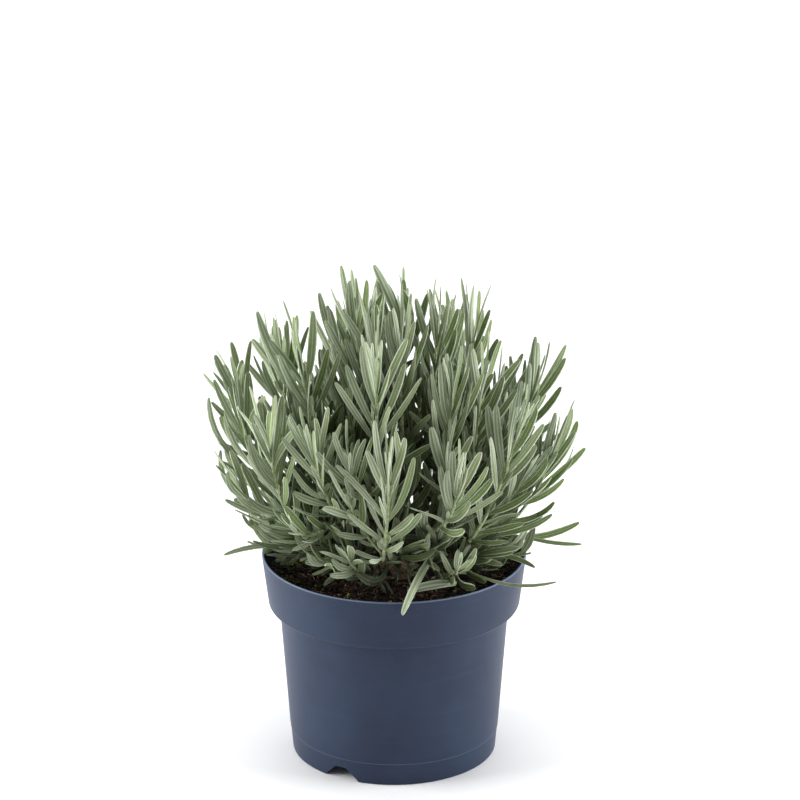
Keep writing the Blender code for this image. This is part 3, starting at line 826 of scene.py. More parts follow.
def leaf_material():
    """Lavender leaf, grown: green blade under white down, which is thickest on the rolled edges and the back.

    The down gives the eye a matt, silvery green; the edges and the midrib stay pale, with green bands
    between. Old leaves low down, and leaves near the middle of the plant, are darkened with painted shade.
    """
    material, tree = new_material("downy_lavender_leaf")
    across, back, share, tone, age = own(tree, "across", "back", "share", "tone", "age")
    ragged = put(tree, "MULTIPLY", put(tree, "SUBTRACT", grain(tree, 1.1 * MM, 2.0), 0.5), 0.16)
    band = put(tree, "ADD", put(tree, "ABSOLUTE", across), ragged)
    fresh, silver, under = [
        put(tree, "colour ramp", band, stops=stops) for stops in (FRESH_BLADE, SILVER_BLADE, DOWNY_BACK)
    ]
    colour = put(tree, "colour mix", put(tree, "soft step", tone, 0.15, 0.75), fresh, silver)
    colour = put(tree, "colour mix", back, colour, under)
    base = put(tree, "soft step", share, 0.25, 0.0)
    down = put(tree, "soft step", grain(tree, 0.5 * MM, 2.0, 0.7), 0.48, 0.75)
    worn = put(tree, "MULTIPLY", age, put(tree, "soft step", grain(tree, 7 * MM, 2.0), 0.3, 0.7))
    colour = tinted(tree, colour, (base, 0.5, "#93a568"), (down, 0.22, "#d5dccb"), (worn, 0.5, "#6f7a4c"))
    where = put(tree, "ShaderNodeTexCoord", output="Object")
    # Painted shade: leaves get darker towards the middle of the plant, where they shade each other
    painted_heart_shade = put(tree, "ShaderNodeVectorMath", where, (0, 0, HEART_HEIGHT), operation="DISTANCE")
    painted_heart_shade = put(tree, "soft step", painted_heart_shade, HEART_DARK, HEART_LIGHT)
    # Painted shade: old leaves, which grow low in the tuft, are darkened in colour
    painted_shade_by_age = put(tree, "colour mix", put(tree, "MULTIPLY", age, 0.7), "#ffffff", "#7c8468")
    # The colour of that painted shade, full at the middle of the plant
    inner = put(tree, "colour mix", painted_heart_shade, "#868f70", "#ffffff")
    for shade in (painted_shade_by_age, inner):
        colour = put(tree, "colour mix", 1.0, colour, shade, blend_type="MULTIPLY")
    surface(tree, colour, {
        "Roughness": 0.7, "Specular IOR Level": 0.25, "Subsurface Weight": 0.06, "Subsurface Scale": 0.8 * MM,
        "Subsurface Radius": (0.6, 1.0, 0.3), "Sheen Weight": 0.12, "Sheen Roughness": 0.45,
        "Sheen Tint": "#e6ecd9",
    }, grain(tree, 0.3 * MM, 2.0), 0.4, 0.12 * MM)
    return material


def green_twig_material():
    """Young lavender stem, grown: square, ribbed and downy, pale grey-green."""
    material, tree = new_material("green_lavender_stem")
    streak = grain(tree, 1.6 * MM, 4.0)
    colour = put(tree, "colour mix", put(tree, "soft step", streak, 0.35, 0.7), "#7d8b5c", "#a9b58c")
    surface(tree, colour, {"Roughness": 0.75, "Sheen Weight": 0.2}, streak, 0.5, 0.15 * MM)
    return material


def bark_material():
    """Lavender bark, grown: dull grey-brown that splits lengthwise into thin flakes, dark in the cracks."""
    material, tree = new_material("flaking_lavender_bark")
    where = put(tree, "ShaderNodeTexCoord", output="Object")
    drawn = put(tree, "ShaderNodeMapping", {"Vector": where, "Scale": (1, 1, 0.35)})
    flakes = grain(tree, 1.3 * MM, 5.0, 0.65, drawn, 0.6)
    cracks = put(tree, "soft step", flakes, 0.36, 0.5)
    colour = put(tree, "colour mix", put(tree, "soft step", flakes, 0.45, 0.72), "#54452f", "#8c8066")
    colour = put(tree, "colour mix", cracks, "#241b12", colour)
    surface(tree, colour, {"Roughness": 0.88}, flakes, 0.9, 0.4 * MM)
    return material


def plastic_material():
    """Polypropylene, injection moulded: dark slate blue, a satin skin and the tool's fine matt grain.

    It shows broad soft reflections, faint rings from the flow of the melt and a little dust, with painted
    highlights along the mould's parting line and on the rim's lip.
    """
    material, tree = new_material("moulded_slate_polypropylene")
    where = put(tree, "ShaderNodeTexCoord", output="Object")
    height = put(tree, "ShaderNodeSeparateXYZ", where, output="Z")
    cloud = grain(tree, 32 * MM, 3.0, 0.5, where)
    rings = put(tree, "ShaderNodeMapping", {"Vector": where, "Scale": (0.04, 0.04, 1)})
    flow = grain(tree, 2.2 * MM, 3.0, 0.6, rings)
    specks = put(tree, "soft step", grain(tree, 0.9 * MM, 4.0, 0.75, where), 0.62, 0.75)
    upper = put(tree, "soft step", height, POT_HEIGHT - 12 * MM, POT_HEIGHT)
    dust = put(tree, "MULTIPLY", specks, put(tree, "ADD", put(tree, "MULTIPLY", upper, 0.25), 0.16))
    # Painted highlight: a pale band on the rim's rounded lip, where it would catch the light
    edge = put(tree, "soft step", height, POT_HEIGHT - 0.75 * MM, POT_HEIGHT - 0.25 * MM)
    # Painted highlight: a pale line along the step at the mould's parting line
    from_seam = put(tree, "ABSOLUTE", put(tree, "SUBTRACT", height, SEAM_HEIGHT))
    painted_seam_highlight = put(tree, "soft step", from_seam, 0.4 * MM, 0.15 * MM)
    colour = put(tree, "colour mix", put(tree, "soft step", cloud, 0.3, 0.7), "#242e43", "#29354a")
    colour = tinted(
        tree, colour, (put(tree, "soft step", flow, 0.5, 0.8), 0.18, "#34425c"), (dust, 1.0, "#8a8f98"),
        (edge, 0.75, "#73819a"), (painted_seam_highlight, 0.22, "#6f7d98"),
    )
    satin = put(tree, "ADD", put(tree, "MULTIPLY", cloud, 0.08), 0.41)
    satin = put(tree, "ADD", satin, put(tree, "MULTIPLY", dust, 0.3))
    matt = grain(tree, 0.35 * MM, 2.0, 0.5, where)
    relief = put(tree, "ADD", put(tree, "MULTIPLY", matt, 0.4), put(tree, "MULTIPLY", flow, 0.6))
    sockets = {"Roughness": satin, "IOR": 1.49, "Specular IOR Level": 0.21}
    surface(tree, colour, sockets, relief, 0.16, 0.1 * MM)
    return material


def peat_material():
    """Damp peat, milled: almost black between crumbs, dark brown on their tops."""
    material, tree = new_material("damp_milled_peat")
    crumbs = put(tree, "MULTIPLY", grain(tree, 2.4 * MM, 5.0, 0.65), 0.6)
    height = put(tree, "ADD", crumbs, put(tree, "MULTIPLY", grain(tree, 0.7 * MM, 3.0, 0.7), 0.4))
    stops = ((0.36, "#060404"), (0.5, "#150e0a"), (0.62, "#2a1c13"), (0.72, "#4b3322"))
    colour = put(tree, "colour ramp", height, stops=stops)
    surface(tree, colour, {"Roughness": 0.9, "Specular IOR Level": 0.3}, height, 1.0, 0.9 * MM)
    return material


def crumb_material():
    """Peat and composted bark crumbs: each has its own brown, from black peat to tan wood fibre."""
    material, tree = new_material("peat_and_bark_crumbs")
    fine = grain(tree, 0.6 * MM, 4.0, 0.7)
    stops = ((0.0, "#080605"), (0.5, "#150e0a"), (0.8, "#2c1c14"), (0.95, "#472d1e"), (0.995, "#8a7658"))
    colour = put(tree, "colour ramp", *own(tree, "tone"), stops=stops)
    colour = put(tree, "colour mix", put(tree, "soft step", fine, 0.5, 0.75), colour, "#0a0705")
    surface(tree, colour, {"Roughness": 0.88, "Specular IOR Level": 0.3}, fine, 0.8, 0.3 * MM)
    return material


def fibre_material():
    """Root and coir fibres: thin dry strands, from straw to dark brown."""
    material, tree = new_material("root_and_coir_fibre")
    stops = ((0.0, "#2b170f"), (0.55, "#53301f"), (0.88, "#855f3d"), (1.0, "#c2a982"))
    surface(tree, put(tree, "colour ramp", *own(tree, "tone"), stops=stops), {"Roughness": 0.8})
    return material


def moss_material():
    """Cushion moss: tiny wet shoots, yellow-green at their tips and dark between."""
    material, tree = new_material("cushion_moss")
    stops = ((0.0, "#2c3a12"), (0.55, "#5d6f1f"), (1.0, "#a3a83c"))
    colour = put(tree, "colour ramp", *own(tree, "tone"), stops=stops)
    surface(tree, colour, {"Roughness": 0.7, "Sheen Weight": 0.15})
    return material


# ---------------------------------------------------------------- geometry trees

def new_tree(name, inputs):
    """A geometry tree with named inputs. Returns it, its inputs by name and its output socket."""
    tree = bpy.data.node_groups.new(name, "GeometryNodeTree")
    tree.interface.new_socket("Geometry", in_out="OUTPUT", socket_type="NodeSocketGeometry")
    for label, kind in inputs.items():
        tree.interface.new_socket(label, in_out="INPUT", socket_type=f"NodeSocket{kind}")
    inlet = tree.nodes.new("NodeGroupInput")
    outlet = tree.nodes.new("NodeGroupOutput")
    return tree, {label: inlet.outputs[label] for label in inputs}, outlet.inputs[0]


def grown(obj, tree, values):
    """Runs a geometry tree on an object and returns the result as a plain mesh object of the same name."""
    modifier = obj.modifiers.new("grow", "NODES")
    modifier.node_group = tree
    for item in tree.interface.items_tree:
        if item.in_out == "INPUT" and item.name in values:
            modifier[item.identifier] = values[item.name]
    return settled(obj)


def shoot_tree():
    """Sweeps the leaf's section along every leaf guide, and a round one along every twig guide."""
    tree, inlet, outlet = new_tree("lavender_shoot", {
        "Guides": "Geometry", "Blade Thickness": "Float", "Channel Depth": "Float", "Edge Roll": "Float",
        "Rib Height": "Float", "Twig Sides": "Int", "Leaf": "Material", "Twig": "Material",
    })
    is_leaf = put(tree, "stored", "is_leaf", data_type="BOOLEAN")
    is_twig = put(tree, "FunctionNodeBooleanMath", {0: is_leaf}, operation="NOT")

    # The leaf's section: a channel along the middle, edges rolled under, a rib below
    ring = put(tree, "circle", {"Resolution": 12, "Radius": 1.0})
    place = put(tree, "GeometryNodeInputPosition")
    across = put(tree, "ShaderNodeSeparateXYZ", place, output="X")
    rise = put(tree, "ShaderNodeSeparateXYZ", place, output="Y")
    out = put(tree, "ABSOLUTE", across)
    below = put(tree, "GREATER_THAN", -0.1, rise)
    middle = put(tree, "POWER", put(tree, "SUBTRACT", 1.0, out, use_clamp=True), 2.0)
    height = put(tree, "MULTIPLY", rise, inlet["Blade Thickness"])
    height = put(tree, "ADD", height, put(tree, "MULTIPLY", out, inlet["Channel Depth"]))
    rolled = put(tree, "MULTIPLY", put(tree, "POWER", out, 4.0), inlet["Edge Roll"])
    height = put(tree, "SUBTRACT", height, rolled)
    rib = put(tree, "MULTIPLY", put(tree, "MULTIPLY", middle, below), inlet["Rib Height"])
    height = put(tree, "SUBTRACT", height, rib)
    ring = put(tree, "store", {"Geometry": ring, "Name": "across", "Value": across})
    back = put(tree, "SUBTRACT", 0.5, put(tree, "MULTIPLY", rise, 2.0), use_clamp=True)
    ring = put(tree, "store", {"Geometry": ring, "Name": "back", "Value": back})
    section = put(tree, "ShaderNodeCombineXYZ", {"X": across, "Y": height})
    ring = put(tree, "move", {"Geometry": ring, "Position": section})

    blades = put(tree, "GeometryNodeMeshToCurve", {"Mesh": inlet["Guides"], "Selection": is_leaf})
    facing = put(tree, "stored", "facing", data_type="FLOAT_VECTOR")
    blades = put(tree, "GeometryNodeSetCurveNormal", {"Curve": blades, "Normal": facing}, mode="FREE")
    width = put(tree, "stored", "half_width")
    blades = put(
        tree, "sweep",
        {"Curve": blades, "Profile Curve": ring, "Scale": width, "Fill Caps": True},
    )
    twigs = put(tree, "GeometryNodeMeshToCurve", {"Mesh": inlet["Guides"], "Selection": is_twig})
    round_ring = put(tree, "circle", {"Resolution": inlet["Twig Sides"], "Radius": 1.0})
    twigs = put(
        tree, "sweep",
        {"Curve": twigs, "Profile Curve": round_ring, "Scale": width, "Fill Caps": True},
    )
    both = put(tree, "GeometryNodeJoinGeometry", {"Geometry": [twigs, blades]})
    both = put(tree, "GeometryNodeSetShadeSmooth", {"Geometry": both, "Shade Smooth": True})
    both = put(tree, "GeometryNodeRealizeInstances", {"Geometry": both})
    both = put(tree, "GeometryNodeSetMaterial", {"Geometry": both, "Material": inlet["Leaf"]})
    both = put(
        tree, "GeometryNodeSetMaterial", {"Geometry": both, "Material": inlet["Twig"], "Selection": is_twig}
    )
    tree.links.new(both, outlet)
    return tree


def bark_tree():
    """Sweeps round wood along its guides and roughens it, as bark does."""
    tree, inlet, outlet = new_tree("woody_stem", {
        "Guides": "Geometry", "Sides": "Int", "Roughness": "Float", "Lump": "Float", "Bark": "Material",
    })
    ring = put(tree, "circle", {"Resolution": inlet["Sides"], "Radius": 1.0})
    wood = put(tree, "GeometryNodeMeshToCurve", {"Mesh": inlet["Guides"]})
    wood = put(
        tree, "sweep",
        {"Curve": wood, "Profile Curve": ring, "Scale": put(tree, "stored", "half_width"), "Fill Caps": True},
    )
    size = put(tree, "DIVIDE", 1.0, inlet["Lump"])
    lumps = put(tree, "ShaderNodeTexNoise", {"Scale": size, "Detail": 2.0})
    push = put(tree, "MULTIPLY", put(tree, "SUBTRACT", lumps, 0.5), inlet["Roughness"])
    normal = put(tree, "GeometryNodeInputNormal")
    offset = put(tree, "ShaderNodeVectorMath", {0: normal, "Scale": push}, operation="SCALE")
    wood = put(tree, "move", {"Geometry": wood, "Offset": offset})
    wood = put(tree, "GeometryNodeSetShadeSmooth", {"Geometry": wood, "Shade Smooth": True})
    wood = put(tree, "GeometryNodeRealizeInstances", {"Geometry": wood})
    wood = put(tree, "GeometryNodeSetMaterial", {"Geometry": wood, "Material": inlet["Bark"]})
    tree.links.new(wood, outlet)
    return tree


def scatter_tree():
    """Strews lumps over a surface, as many as its own density says, each with its own size, turn and tone."""
    tree, inlet, outlet = new_tree("strewn_lumps", {
        "Surface": "Geometry", "Density": "Float", "Smallest": "Float", "Largest": "Float",
        "Flatness": "Float", "Sink": "Float", "Seed": "Int", "Material": "Material",
    })
    density = put(tree, "MULTIPLY", put(tree, "stored", "density"), inlet["Density"])
    points = put(
        tree, "GeometryNodeDistributePointsOnFaces",
        {"Mesh": inlet["Surface"], "Density": density, "Seed": inlet["Seed"]}, output="Points",
    )
    lump = put(tree, "GeometryNodeMeshIcoSphere", {"Radius": 1.0, "Subdivisions": 1}, output="Mesh")
    place = put(tree, "GeometryNodeInputPosition")
    knobs = put(tree, "ShaderNodeTexNoise", {"Vector": place, "Scale": 1.3, "Detail": 1.0}, output="Color")
    knobs = put(tree, "ShaderNodeVectorMath", {0: knobs, 1: (0.5, 0.5, 0.5)}, operation="SUBTRACT")
    lump = put(tree, "move", {"Geometry": lump, "Offset": knobs})
    spin = put(
        tree, "random", {"Min": (-0.5, -0.5, 0), "Max": (0.5, 0.5, 6.283), "Seed": 3},
        data_type="FLOAT_VECTOR",
    )
    chance = put(tree, "random", {"Min": 0.0, "Max": 1.0, "Seed": 5})
    share = put(tree, "POWER", chance, 3.0)
    spread = put(tree, "SUBTRACT", inlet["Largest"], inlet["Smallest"])
    size = put(tree, "ADD", inlet["Smallest"], put(tree, "MULTIPLY", share, spread))
    stretch_x = put(tree, "random", {"Min": 0.7, "Max": 1.7, "Seed": 9})
    shape = put(
        tree, "ShaderNodeCombineXYZ",
        put(tree, "MULTIPLY", size, stretch_x), size, put(tree, "MULTIPLY", size, inlet["Flatness"]),
    )
    tone = put(tree, "random", {"Min": 0.0, "Max": 1.0, "Seed": 7})
    points = put(tree, "store", {"Geometry": points, "Name": "tone", "Value": tone})
    drop = put(tree, "ShaderNodeCombineXYZ", {"Z": put(tree, "MULTIPLY", size, inlet["Sink"])})
    points = put(tree, "move", {"Geometry": points, "Offset": drop})
    lumps = put(
        tree, "GeometryNodeInstanceOnPoints",
        {"Points": points, "Instance": lump, "Rotation": spin, "Scale": shape},
    )
    lumps = put(tree, "GeometryNodeRealizeInstances", {"Geometry": lumps})
    lumps = put(tree, "GeometryNodeSetMaterial", {"Geometry": lumps, "Material": inlet["Material"]})
    tree.links.new(lumps, outlet)
    return tree


# ---------------------------------------------------------------- guides

# Half width of a blade along its length, as shares: a strap with a narrow base and a blunt tip
BLADE_WIDTHS = (
    (0.0, 0.2), (0.07, 0.26), (0.18, 0.35), (0.32, 0.43), (0.46, 0.49), (0.6, 0.5), (0.75, 0.48),
    (0.87, 0.41), (0.945, 0.32), (0.985, 0.22), (1.0, 0.09),
)


def guide_object(name, lines, numbers, facings=None):
    """Open lines of points as one mesh, with a number or a direction stored on every point."""
    points = [point for line in lines for point in line]
    edges, count = [], 0
    for line in lines:
        edges += [(count + i, count + i + 1) for i in range(len(line) - 1)]
        count += len(line)
    mesh = bpy.data.meshes.new(name)
    mesh.from_pydata([tuple(point) for point in points], edges, [])
    for label, values in numbers.items():
        kind = "BOOLEAN" if label.startswith("is_") else "FLOAT"
        mesh.attributes.new(label, kind, "POINT").data.foreach_set("value", values)
    if facings:
        flat = [number for facing in facings for number in facing]
        mesh.attributes.new("facing", "FLOAT_VECTOR", "POINT").data.foreach_set("vector", flat)
    return add_object(name, mesh)


def wavy(points, places, shares, length, chance):
    """Gives a leaf's middle line a slight sway to either side, none at its root."""
    size, start = chance.uniform(0.0, 0.028) * length, chance.uniform(0, math.tau)
    swayed = []
    for point, (_place, _heading, side), share in zip(points, places, shares):
        swayed.append(point + side * size * (math.sin(start + share * 5) - math.sin(start)) * share)
    return swayed


def shoot_guides(name, shoot, twigs, blades):
    """The guides of one tuft: its green axis, its side twigs and its leaves."""
    chance = random.Random(shoot.seed + 29)
    lines, facings = [], []
    numbers = {label: [] for label in ("is_leaf", "half_width", "share", "tone", "age")}

    def add_line(points, facing, is_leaf, widths, shares, tone, age):
        lines.append(points)
        facings.extend(facing)
        numbers["is_leaf"] += [is_leaf] * len(points)
        numbers["half_width"] += widths
        numbers["share"] += shares
        numbers["tone"] += [tone] * len(points)
        numbers["age"] += [age] * len(points)

    axes = [(stretch(shoot.path, shoot.wood, 1, 16), TWIG_RADIUS, TIP_RADIUS)]
    axes += [(stretch(twig.path, 0, 1, 9), TIP_RADIUS, TIP_RADIUS * 0.8) for twig in twigs]
    for points, start, end in axes:
        shares = [i / (len(points) - 1) for i in range(len(points))]
        widths = [start + (end - start) * share for share in shares]
        add_line(points, [UP] * len(points), False, widths, shares, 0.5, 0.3)
    for leaf, age in blades:
        shares = [share for share, _width in BLADE_WIDTHS]
        places = [leaf_point(leaf, share) for share in shares]
        widths = [width * leaf.width for _share, width in BLADE_WIDTHS]
        facing = [side.cross(heading) for _point, heading, side in places]
        points = wavy([point for point, _heading, _side in places], places, shares, leaf.length, chance)
        add_line(points, facing, True, widths, shares, chance.random(), age)
    return guide_object(name, lines, numbers, facings)


# ---------------------------------------------------------------- the pieces

def pot_profile():
    """Outline of the pot: up inside from the floor, over the rim, down outside and back under the floor."""
    band_foot = POT_HEIGHT - BAND_HEIGHT
    body_top = band_foot - SHOULDER_DROP
    inner_foot = FOOT_RADIUS - WALL
    slope = (BODY_TOP_RADIUS - FOOT_RADIUS) / body_top
    seam_radius = FOOT_RADIUS + slope * SEAM_HEIGHT
    lip = WALL / 2
    inside = [
        (0, FLOOR_TOP),
        (inner_foot + slope * FLOOR_TOP - 1.5 * MM, FLOOR_TOP),
        (inner_foot + slope * FLOOR_TOP, FLOOR_TOP + 1.5 * MM),
        (BODY_TOP_RADIUS - WALL, body_top),
        (BAND_FOOT_RADIUS - WALL - SHOULDER_ROUND, band_foot + WALL),
        (BAND_FOOT_RADIUS - WALL, band_foot + WALL + SHOULDER_ROUND),
    ]
    rim = arc(RIM_RADIUS - lip, POT_HEIGHT - lip, lip, 180, 0, 10)
    shoulder = arc(BAND_FOOT_RADIUS - SHOULDER_ROUND, band_foot + SHOULDER_ROUND, SHOULDER_ROUND, 0, -84, 9)
    tuck = arc(BODY_TOP_RADIUS + 0.9 * MM, body_top - 0.2 * MM, 0.9 * MM, 100, 180, 5)
    foot = arc(FOOT_RADIUS - FOOT_BEVEL * 0.8, FOOT_BEVEL * 0.8, FOOT_BEVEL * 0.8, 0, -90, 5)
    body = [
        (seam_radius + SEAM_STEP + slope * 2 * MM, SEAM_HEIGHT + 2 * MM),
        (seam_radius + SEAM_STEP, SEAM_HEIGHT + 0.1 * MM),
        (seam_radius + SEAM_STEP * 0.7, SEAM_HEIGHT - 0.05 * MM),
        (seam_radius, SEAM_HEIGHT - SEAM_STEP),
    ]
    under = [
        (inner_foot - 1.2 * MM, 0),
        (inner_foot - 0.8 * MM, FLOOR_TOP - FLOOR_THICKNESS),
        (0, FLOOR_TOP - FLOOR_THICKNESS),
    ]
    return inside + rim + shoulder + tuck + body + foot + under


def notch_cutter():
    """A bar with the notch's outline, right across the foot, so that it cuts the two opposite notches."""
    half_foot, half_top = NOTCH_FOOT_WIDTH / 2, NOTCH_TOP_WIDTH / 2
    round_foot = arc(-half_foot - 2 * MM, 2 * MM, 2.2 * MM, -90, -20, 5)
    round_top = arc(-half_top + 1.9 * MM, NOTCH_HEIGHT - 1.9 * MM, 1.9 * MM, 160, 90, 5)
    left = [(-half_foot - 2 * MM, -1 * MM)] + round_foot + round_top
    outline = left + [(-x, z) for x, z in reversed(left)]
    curve = bpy.data.curves.new("notch", "CURVE")
    curve.dimensions = "2D"
    curve.fill_mode = "BOTH"
    curve.extrude = FOOT_RADIUS * 1.3
    spline = curve.splines.new("POLY")
    spline.points.add(len(outline) - 1)
    spline.use_cyclic_u = True
    for place, (x, z) in enumerate(outline):
        spline.points[place].co = (x, z, 0, 1)
    bar = settled(add_object("notch", curve))
    shape = bmesh.new()
    shape.from_mesh(bar.data)
    bmesh.ops.remove_doubles(shape, verts=shape.verts, dist=0.000002)
    bmesh.ops.recalc_face_normals(shape, faces=shape.faces)
    shape.to_mesh(bar.data)
    shape.free()
    bar.rotation_euler = (math.pi / 2, 0, NOTCH_AZIMUTH)
    return bar


def make_pot(material):
    pot = turned("nursery_pot", pot_profile(), POT_SIDES)
    cutters = [notch_cutter()]
    for index in range(DRAIN_HOLES):
        spot = spin_vector(NOTCH_AZIMUTH + math.tau * (index + 0.5) / DRAIN_HOLES) * DRAIN_CIRCLE_RADIUS
        bpy.ops.mesh.primitive_cylinder_add(
            vertices=32, radius=DRAIN_RADIUS, depth=FLOOR_THICKNESS * 3,
            location=(spot.x, spot.y, FLOOR_TOP - FLOOR_THICKNESS / 2),
        )
        cutters.append(bpy.context.object)
    pot = cut_out(pot, cutters)
    coat(pot, material)
    pot.data.set_sharp_from_angle(angle=math.radians(32))
    finish_piece(pot, "pot_plastic", "pot")


def soil_height(x, y):
    """Height of the mix's surface: the part's slow waves, with clods, crumbs and grit."""
    spot = Vector((x, y, SOIL_TOP))
    height = SOIL_TOP + noise.noise(spot / SOIL_LUMP) * SOIL_UNEVENNESS
    for size, rise, shift in SOIL_DETAIL:
        height += noise.noise(spot / (size * MM) + Vector(shift)) * rise * MM
    return height


def soil_profile(rings):
    band_foot = POT_HEIGHT - BAND_HEIGHT
    body_top = band_foot - SHOULDER_DROP
    slope = (BODY_TOP_RADIUS - FOOT_RADIUS) / body_top
    inner_foot = FOOT_RADIUS - WALL - GAP
    edge = pot_inner_radius(SOIL_TOP) - GAP
    return [(edge * ring / rings, SOIL_TOP) for ring in range(rings + 1)] + [
        (BAND_FOOT_RADIUS - WALL - GAP, band_foot + WALL + SHOULDER_ROUND + GAP),
        (BAND_FOOT_RADIUS - WALL - SHOULDER_ROUND - GAP, band_foot + WALL + GAP),
        (BODY_TOP_RADIUS - WALL - 2 * GAP, body_top + GAP),
        (inner_foot + slope * FLOOR_TOP - 0.2 * MM, FLOOR_TOP + 1.8 * MM),
        (inner_foot + slope * FLOOR_TOP - 1.6 * MM, FLOOR_TOP + GAP),
        (0, FLOOR_TOP + GAP),
    ]


def make_soil(peat, crumb, fibre, moss):
    """The mix's body, and on it the loose crumbs, the fibres and the moss."""
    soil = turned("peat_mix", soil_profile(84), 220)
    for vertex in soil.data.vertices:
        if vertex.co.z > SOIL_TOP - 0.1 * MM:
            vertex.co.z = soil_height(vertex.co.x, vertex.co.y)
    coat(soil, peat)
    finish_piece(soil, "potting_mix", "potting_mix")

    strewn = scatter_tree()
    layers = (
        ("peat_crumbs", crumb, "potting_mix", 0.75e6, 0.3 * MM, 1.5 * MM, 0.75, 0.2, 11, crumb_density),
        ("moss", moss, "potting_mix", 2.3e6, 0.28 * MM, 0.75 * MM, 1.5, 0.5, 12, moss_density),
    )
    for name, material, slot, density, smallest, largest, flatness, sink, seed, spread in layers:
        surface = soil_surface(name, spread)
        lumps = grown(surface, strewn, {
            "Density": density, "Smallest": smallest, "Largest": largest, "Flatness": flatness, "Sink": sink,
            "Seed": seed, "Material": material,
        })
        finish_piece(lumps, slot, "potting_mix")
    make_fibres(fibre)


def crumb_density(x, y):
    return 0.35 + 0.65 * smooth_step(noise.noise(Vector((x, y, 0)) / (9 * MM)), -0.3, 0.35)


def moss_density(x, y):
    """Thick in a few cushions near the wall, and nothing between."""
    edge = pot_inner_radius(SOIL_TOP)
    most = 0.0
    for share_x, share_y, size in MOSS_CUSHIONS:
        away = math.hypot(x - share_x * edge * 0.94, y - share_y * edge * 0.94) / (size * MM)
        most = max(most, 1.0 - away)
    ragged = noise.noise(Vector((x, y, 0)) / (3.5 * MM)) * 0.5
    return smooth_step(most + ragged, 0.1, 0.6)


def smooth_step(value, low, high):
    share = min(1.0, max(0.0, (value - low) / (high - low)))
    return share * share * (3 - 2 * share)


def soil_surface(name, spread):
    """The mix's top as an open sheet, clear of the crown and the wall, with a density on its points."""
    edge = pot_inner_radius(SOIL_TOP) - 1.6 * MM
    rings, sides = 40, 120
    shape = bmesh.new()
    density = shape.verts.layers.float.new("density")
    loops = []
    for ring in range(rings + 1):
        radius = CROWN_RADIUS * 0.9 + (edge - CROWN_RADIUS * 0.9) * ring / rings
        loop = []
        for side in range(sides):
            x, y = radius * math.cos(math.tau * side / sides), radius * math.sin(math.tau * side / sides)
            vertex = shape.verts.new((x, y, soil_height(x, y)))
            vertex[density] = spread(x, y)
            loop.append(vertex)
        loops.append(loop)
    for inner, outer in zip(loops, loops[1:]):
        for side in range(sides):
            after = (side + 1) % sides
            shape.faces.new((inner[side], outer[side], outer[after], inner[after]))
    return from_bmesh(name, shape)


def make_fibres(material):
    """Fine strands that lie on the mix and bow up a little between their ends."""
    chance = random.Random(41)
    lines = []
    numbers = {label: [] for label in ("half_width", "tone")}
    edge = pot_inner_radius(SOIL_TOP) - 4 * MM
    for _strand in range(STRANDS):
        radius = math.sqrt(chance.uniform(0.06, 1)) * edge
        spot = spin_vector(chance.uniform(0, math.tau)) * radius
        heading = chance.uniform(0, math.tau)
        length = chance.uniform(3, 11) * MM
        thick = chance.uniform(0.07, 0.2) * MM
        bow = chance.uniform(0.1, 1.3) * MM
        line = []
        for step in range(STRAND_STEPS + 1):
            heading += chance.uniform(-0.45, 0.45)
            spot = spot + Vector((math.cos(heading), math.sin(heading), 0)) * length / STRAND_STEPS
            away = math.hypot(spot.x, spot.y)
            if away > edge:
                spot = spot * (edge / away)
            lift = math.sin(math.pi * step / STRAND_STEPS) * bow + 0.15 * MM
            line.append(Vector((spot.x, spot.y, soil_height(spot.x, spot.y) + lift)))
        lines.append(line)
        numbers["half_width"] += [thick] * len(line)
        numbers["tone"] += [chance.random()] * len(line)
    guides = guide_object("root_fibres", lines, numbers)
    values = {"Sides": 5, "Roughness": 0.0, "Lump": 1 * MM, "Bark": material}
    fibres = grown(guides, bark_tree(), values)
    finish_piece(fibres, "potting_mix", "potting_mix")


def make_crown(material):
    """The woody base: a low dome with deep cracks, on its stub in the mix."""
    dome = [(x * CROWN_RADIUS, SOIL_TOP + z * CROWN_RISE) for x, z in arc(0, 0, 1, 90, 0, 16)]
    profile = [(0, SOIL_TOP + CROWN_RISE)] + dome[1:] + [
        (CROWN_RADIUS * 0.86, SOIL_TOP - 4 * MM),
        (CROWN_STUB_RADIUS, SOIL_TOP - 7 * MM),
        (CROWN_STUB_RADIUS * 0.8, SOIL_TOP - CROWN_STUB_DEPTH),
        (0, SOIL_TOP - CROWN_STUB_DEPTH),
    ]
    crown = turned("woody_crown", profile, 56)
    for vertex in crown.data.vertices:
        push = noise.noise(vertex.co / (3.5 * MM)) * 0.9 + noise.noise(vertex.co / (1.4 * MM)) * 0.4 - 0.5
        vertex.co += vertex.normal * push * MM
    coat(crown, material)
    finish_piece(crown, "bark", "crown")


def make_stems(plant, material):
    tree = bark_tree()
    for index in range(SECTORS):
        lines, widths = [], []
        for kind in ("tall", "wide", "low"):
            shoot = plant[f"{index + 1:02d}_{kind}"][0]
            points = stretch(shoot.path, 0, shoot.wood, STEM_POINTS)
            start = WOOD_RADIUS if kind == "tall" else TWIG_RADIUS * 1.1
            lines.append(points)
            widths += [start + (TWIG_RADIUS - start) * i / (STEM_POINTS - 1) for i in range(STEM_POINTS)]
        guides = guide_object(f"woody_stem_{index + 1:02d}", lines, {"half_width": widths})
        stem = grown(guides, tree, {"Sides": 10, "Roughness": 0.7 * MM, "Lump": 1.6 * MM, "Bark": material})
        finish_piece(stem, "bark", f"stem_{index + 1:02d}")


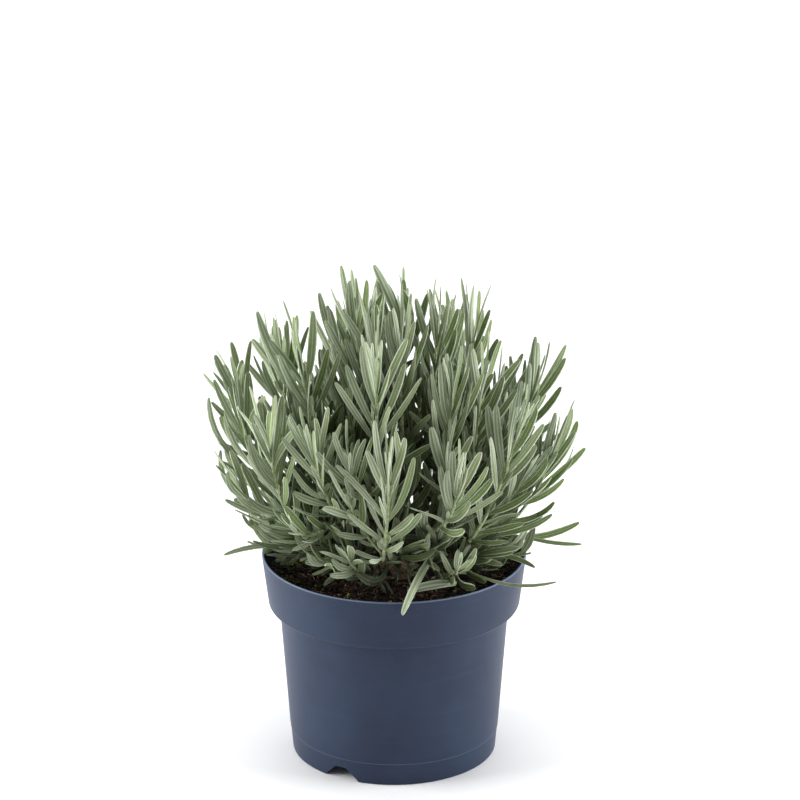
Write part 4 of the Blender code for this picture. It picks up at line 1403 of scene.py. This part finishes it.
def make_tufts(plant, leaf, twig):
    tree = shoot_tree()
    values = {
        "Blade Thickness": 0.1, "Channel Depth": 0.34, "Edge Roll": 0.3, "Rib Height": 0.14, "Twig Sides": 8,
        "Leaf": leaf, "Twig": twig,
    }
    dressed = dress_plant(plant)
    for number, (name, (shoot, _leaves)) in enumerate(plant.items(), 1):
        twigs, blades = dressed[name]
        guides = shoot_guides(f"leafy_shoot_{number:02d}", shoot, twigs, blades)
        tuft = grown(guides, tree, values)
        finish_piece(tuft, "leaf", f"leaf_tuft_{number:02d}")


# ---------------------------------------------------------------- floor, light and camera

CAMERA_ELEVATION = math.radians(20.5)
CAMERA_DISTANCE = 2.2
CAMERA_AIM = Vector((2.9, 0, 182.3)) * MM
CAMERA_LENS = 204


def softbox(name, place, aim, size, power):
    light = bpy.data.lights.new(name, "AREA")
    light.shape = "RECTANGLE"
    light.size, light.size_y = size
    light.energy = power
    obj = add_object(name, light)
    obj.location = place
    obj.rotation_mode = "QUATERNION"
    obj.rotation_quaternion = (Vector(aim) - Vector(place)).to_track_quat("-Z", "Y")


def make_stage():
    """A plain pale floor, a softbox on either side, one overhead and one that whitens the floor behind."""
    material, tree = new_material("matt_white_board")
    speck = grain(tree, 40 * MM, 2.0)
    surface(tree, put(tree, "colour mix", speck, "#fbfbfb", "#ffffff"), {"Roughness": 0.9})
    bpy.ops.mesh.primitive_grid_add(x_subdivisions=8, y_subdivisions=8, size=12)
    floor = bpy.context.object
    floor.name = "floor"
    floor.data.materials.append(material)

    middle = (cad_low + cad_high) / 2
    softbox("left_softbox", (-1.3, -0.1, 0.42), middle, (0.9, 0.9), 25)
    softbox("right_softbox", (1.3, -0.1, 0.42), middle, (0.9, 0.9), 22)
    softbox("top_softbox", (0.0, 0.2, 2.6), middle, (2.0, 2.0), 36)
    softbox("floor_softbox", (0.0, 2.0, 1.3), (0.0, 1.7, 0.0), (3.0, 1.2), 26)
    world = bpy.data.worlds.new("studio")
    world.use_nodes = True
    fill(world.node_tree, world.node_tree.nodes["Background"], {"Color": "#f4f6fa", "Strength": 0.3})
    bpy.context.scene.world = world
    bpy.context.scene.view_settings.view_transform = "Standard"


def make_camera():
    """Long lens from the front, looking down a little, with the plant low in the frame."""
    away = Vector((0, -math.cos(CAMERA_ELEVATION), math.sin(CAMERA_ELEVATION)))
    camera = add_object("camera", bpy.data.cameras.new("camera"))
    camera.data.lens = CAMERA_LENS
    camera.data.sensor_width = 36
    camera.data.clip_start = 0.1
    camera.location = CAMERA_AIM + away * CAMERA_DISTANCE
    camera.rotation_mode = "QUATERNION"
    camera.rotation_quaternion = (-away).to_track_quat("-Z", "Y")
    bpy.context.scene.camera = camera


# ---------------------------------------------------------------- all of it

make_camera()
make_stage()
bark = bark_material()
make_pot(plastic_material())
make_soil(peat_material(), crumb_material(), fibre_material(), moss_material())
make_crown(bark)
plant = grow_plant()
make_stems(plant, bark)
make_tufts(plant, leaf_material(), green_twig_material())
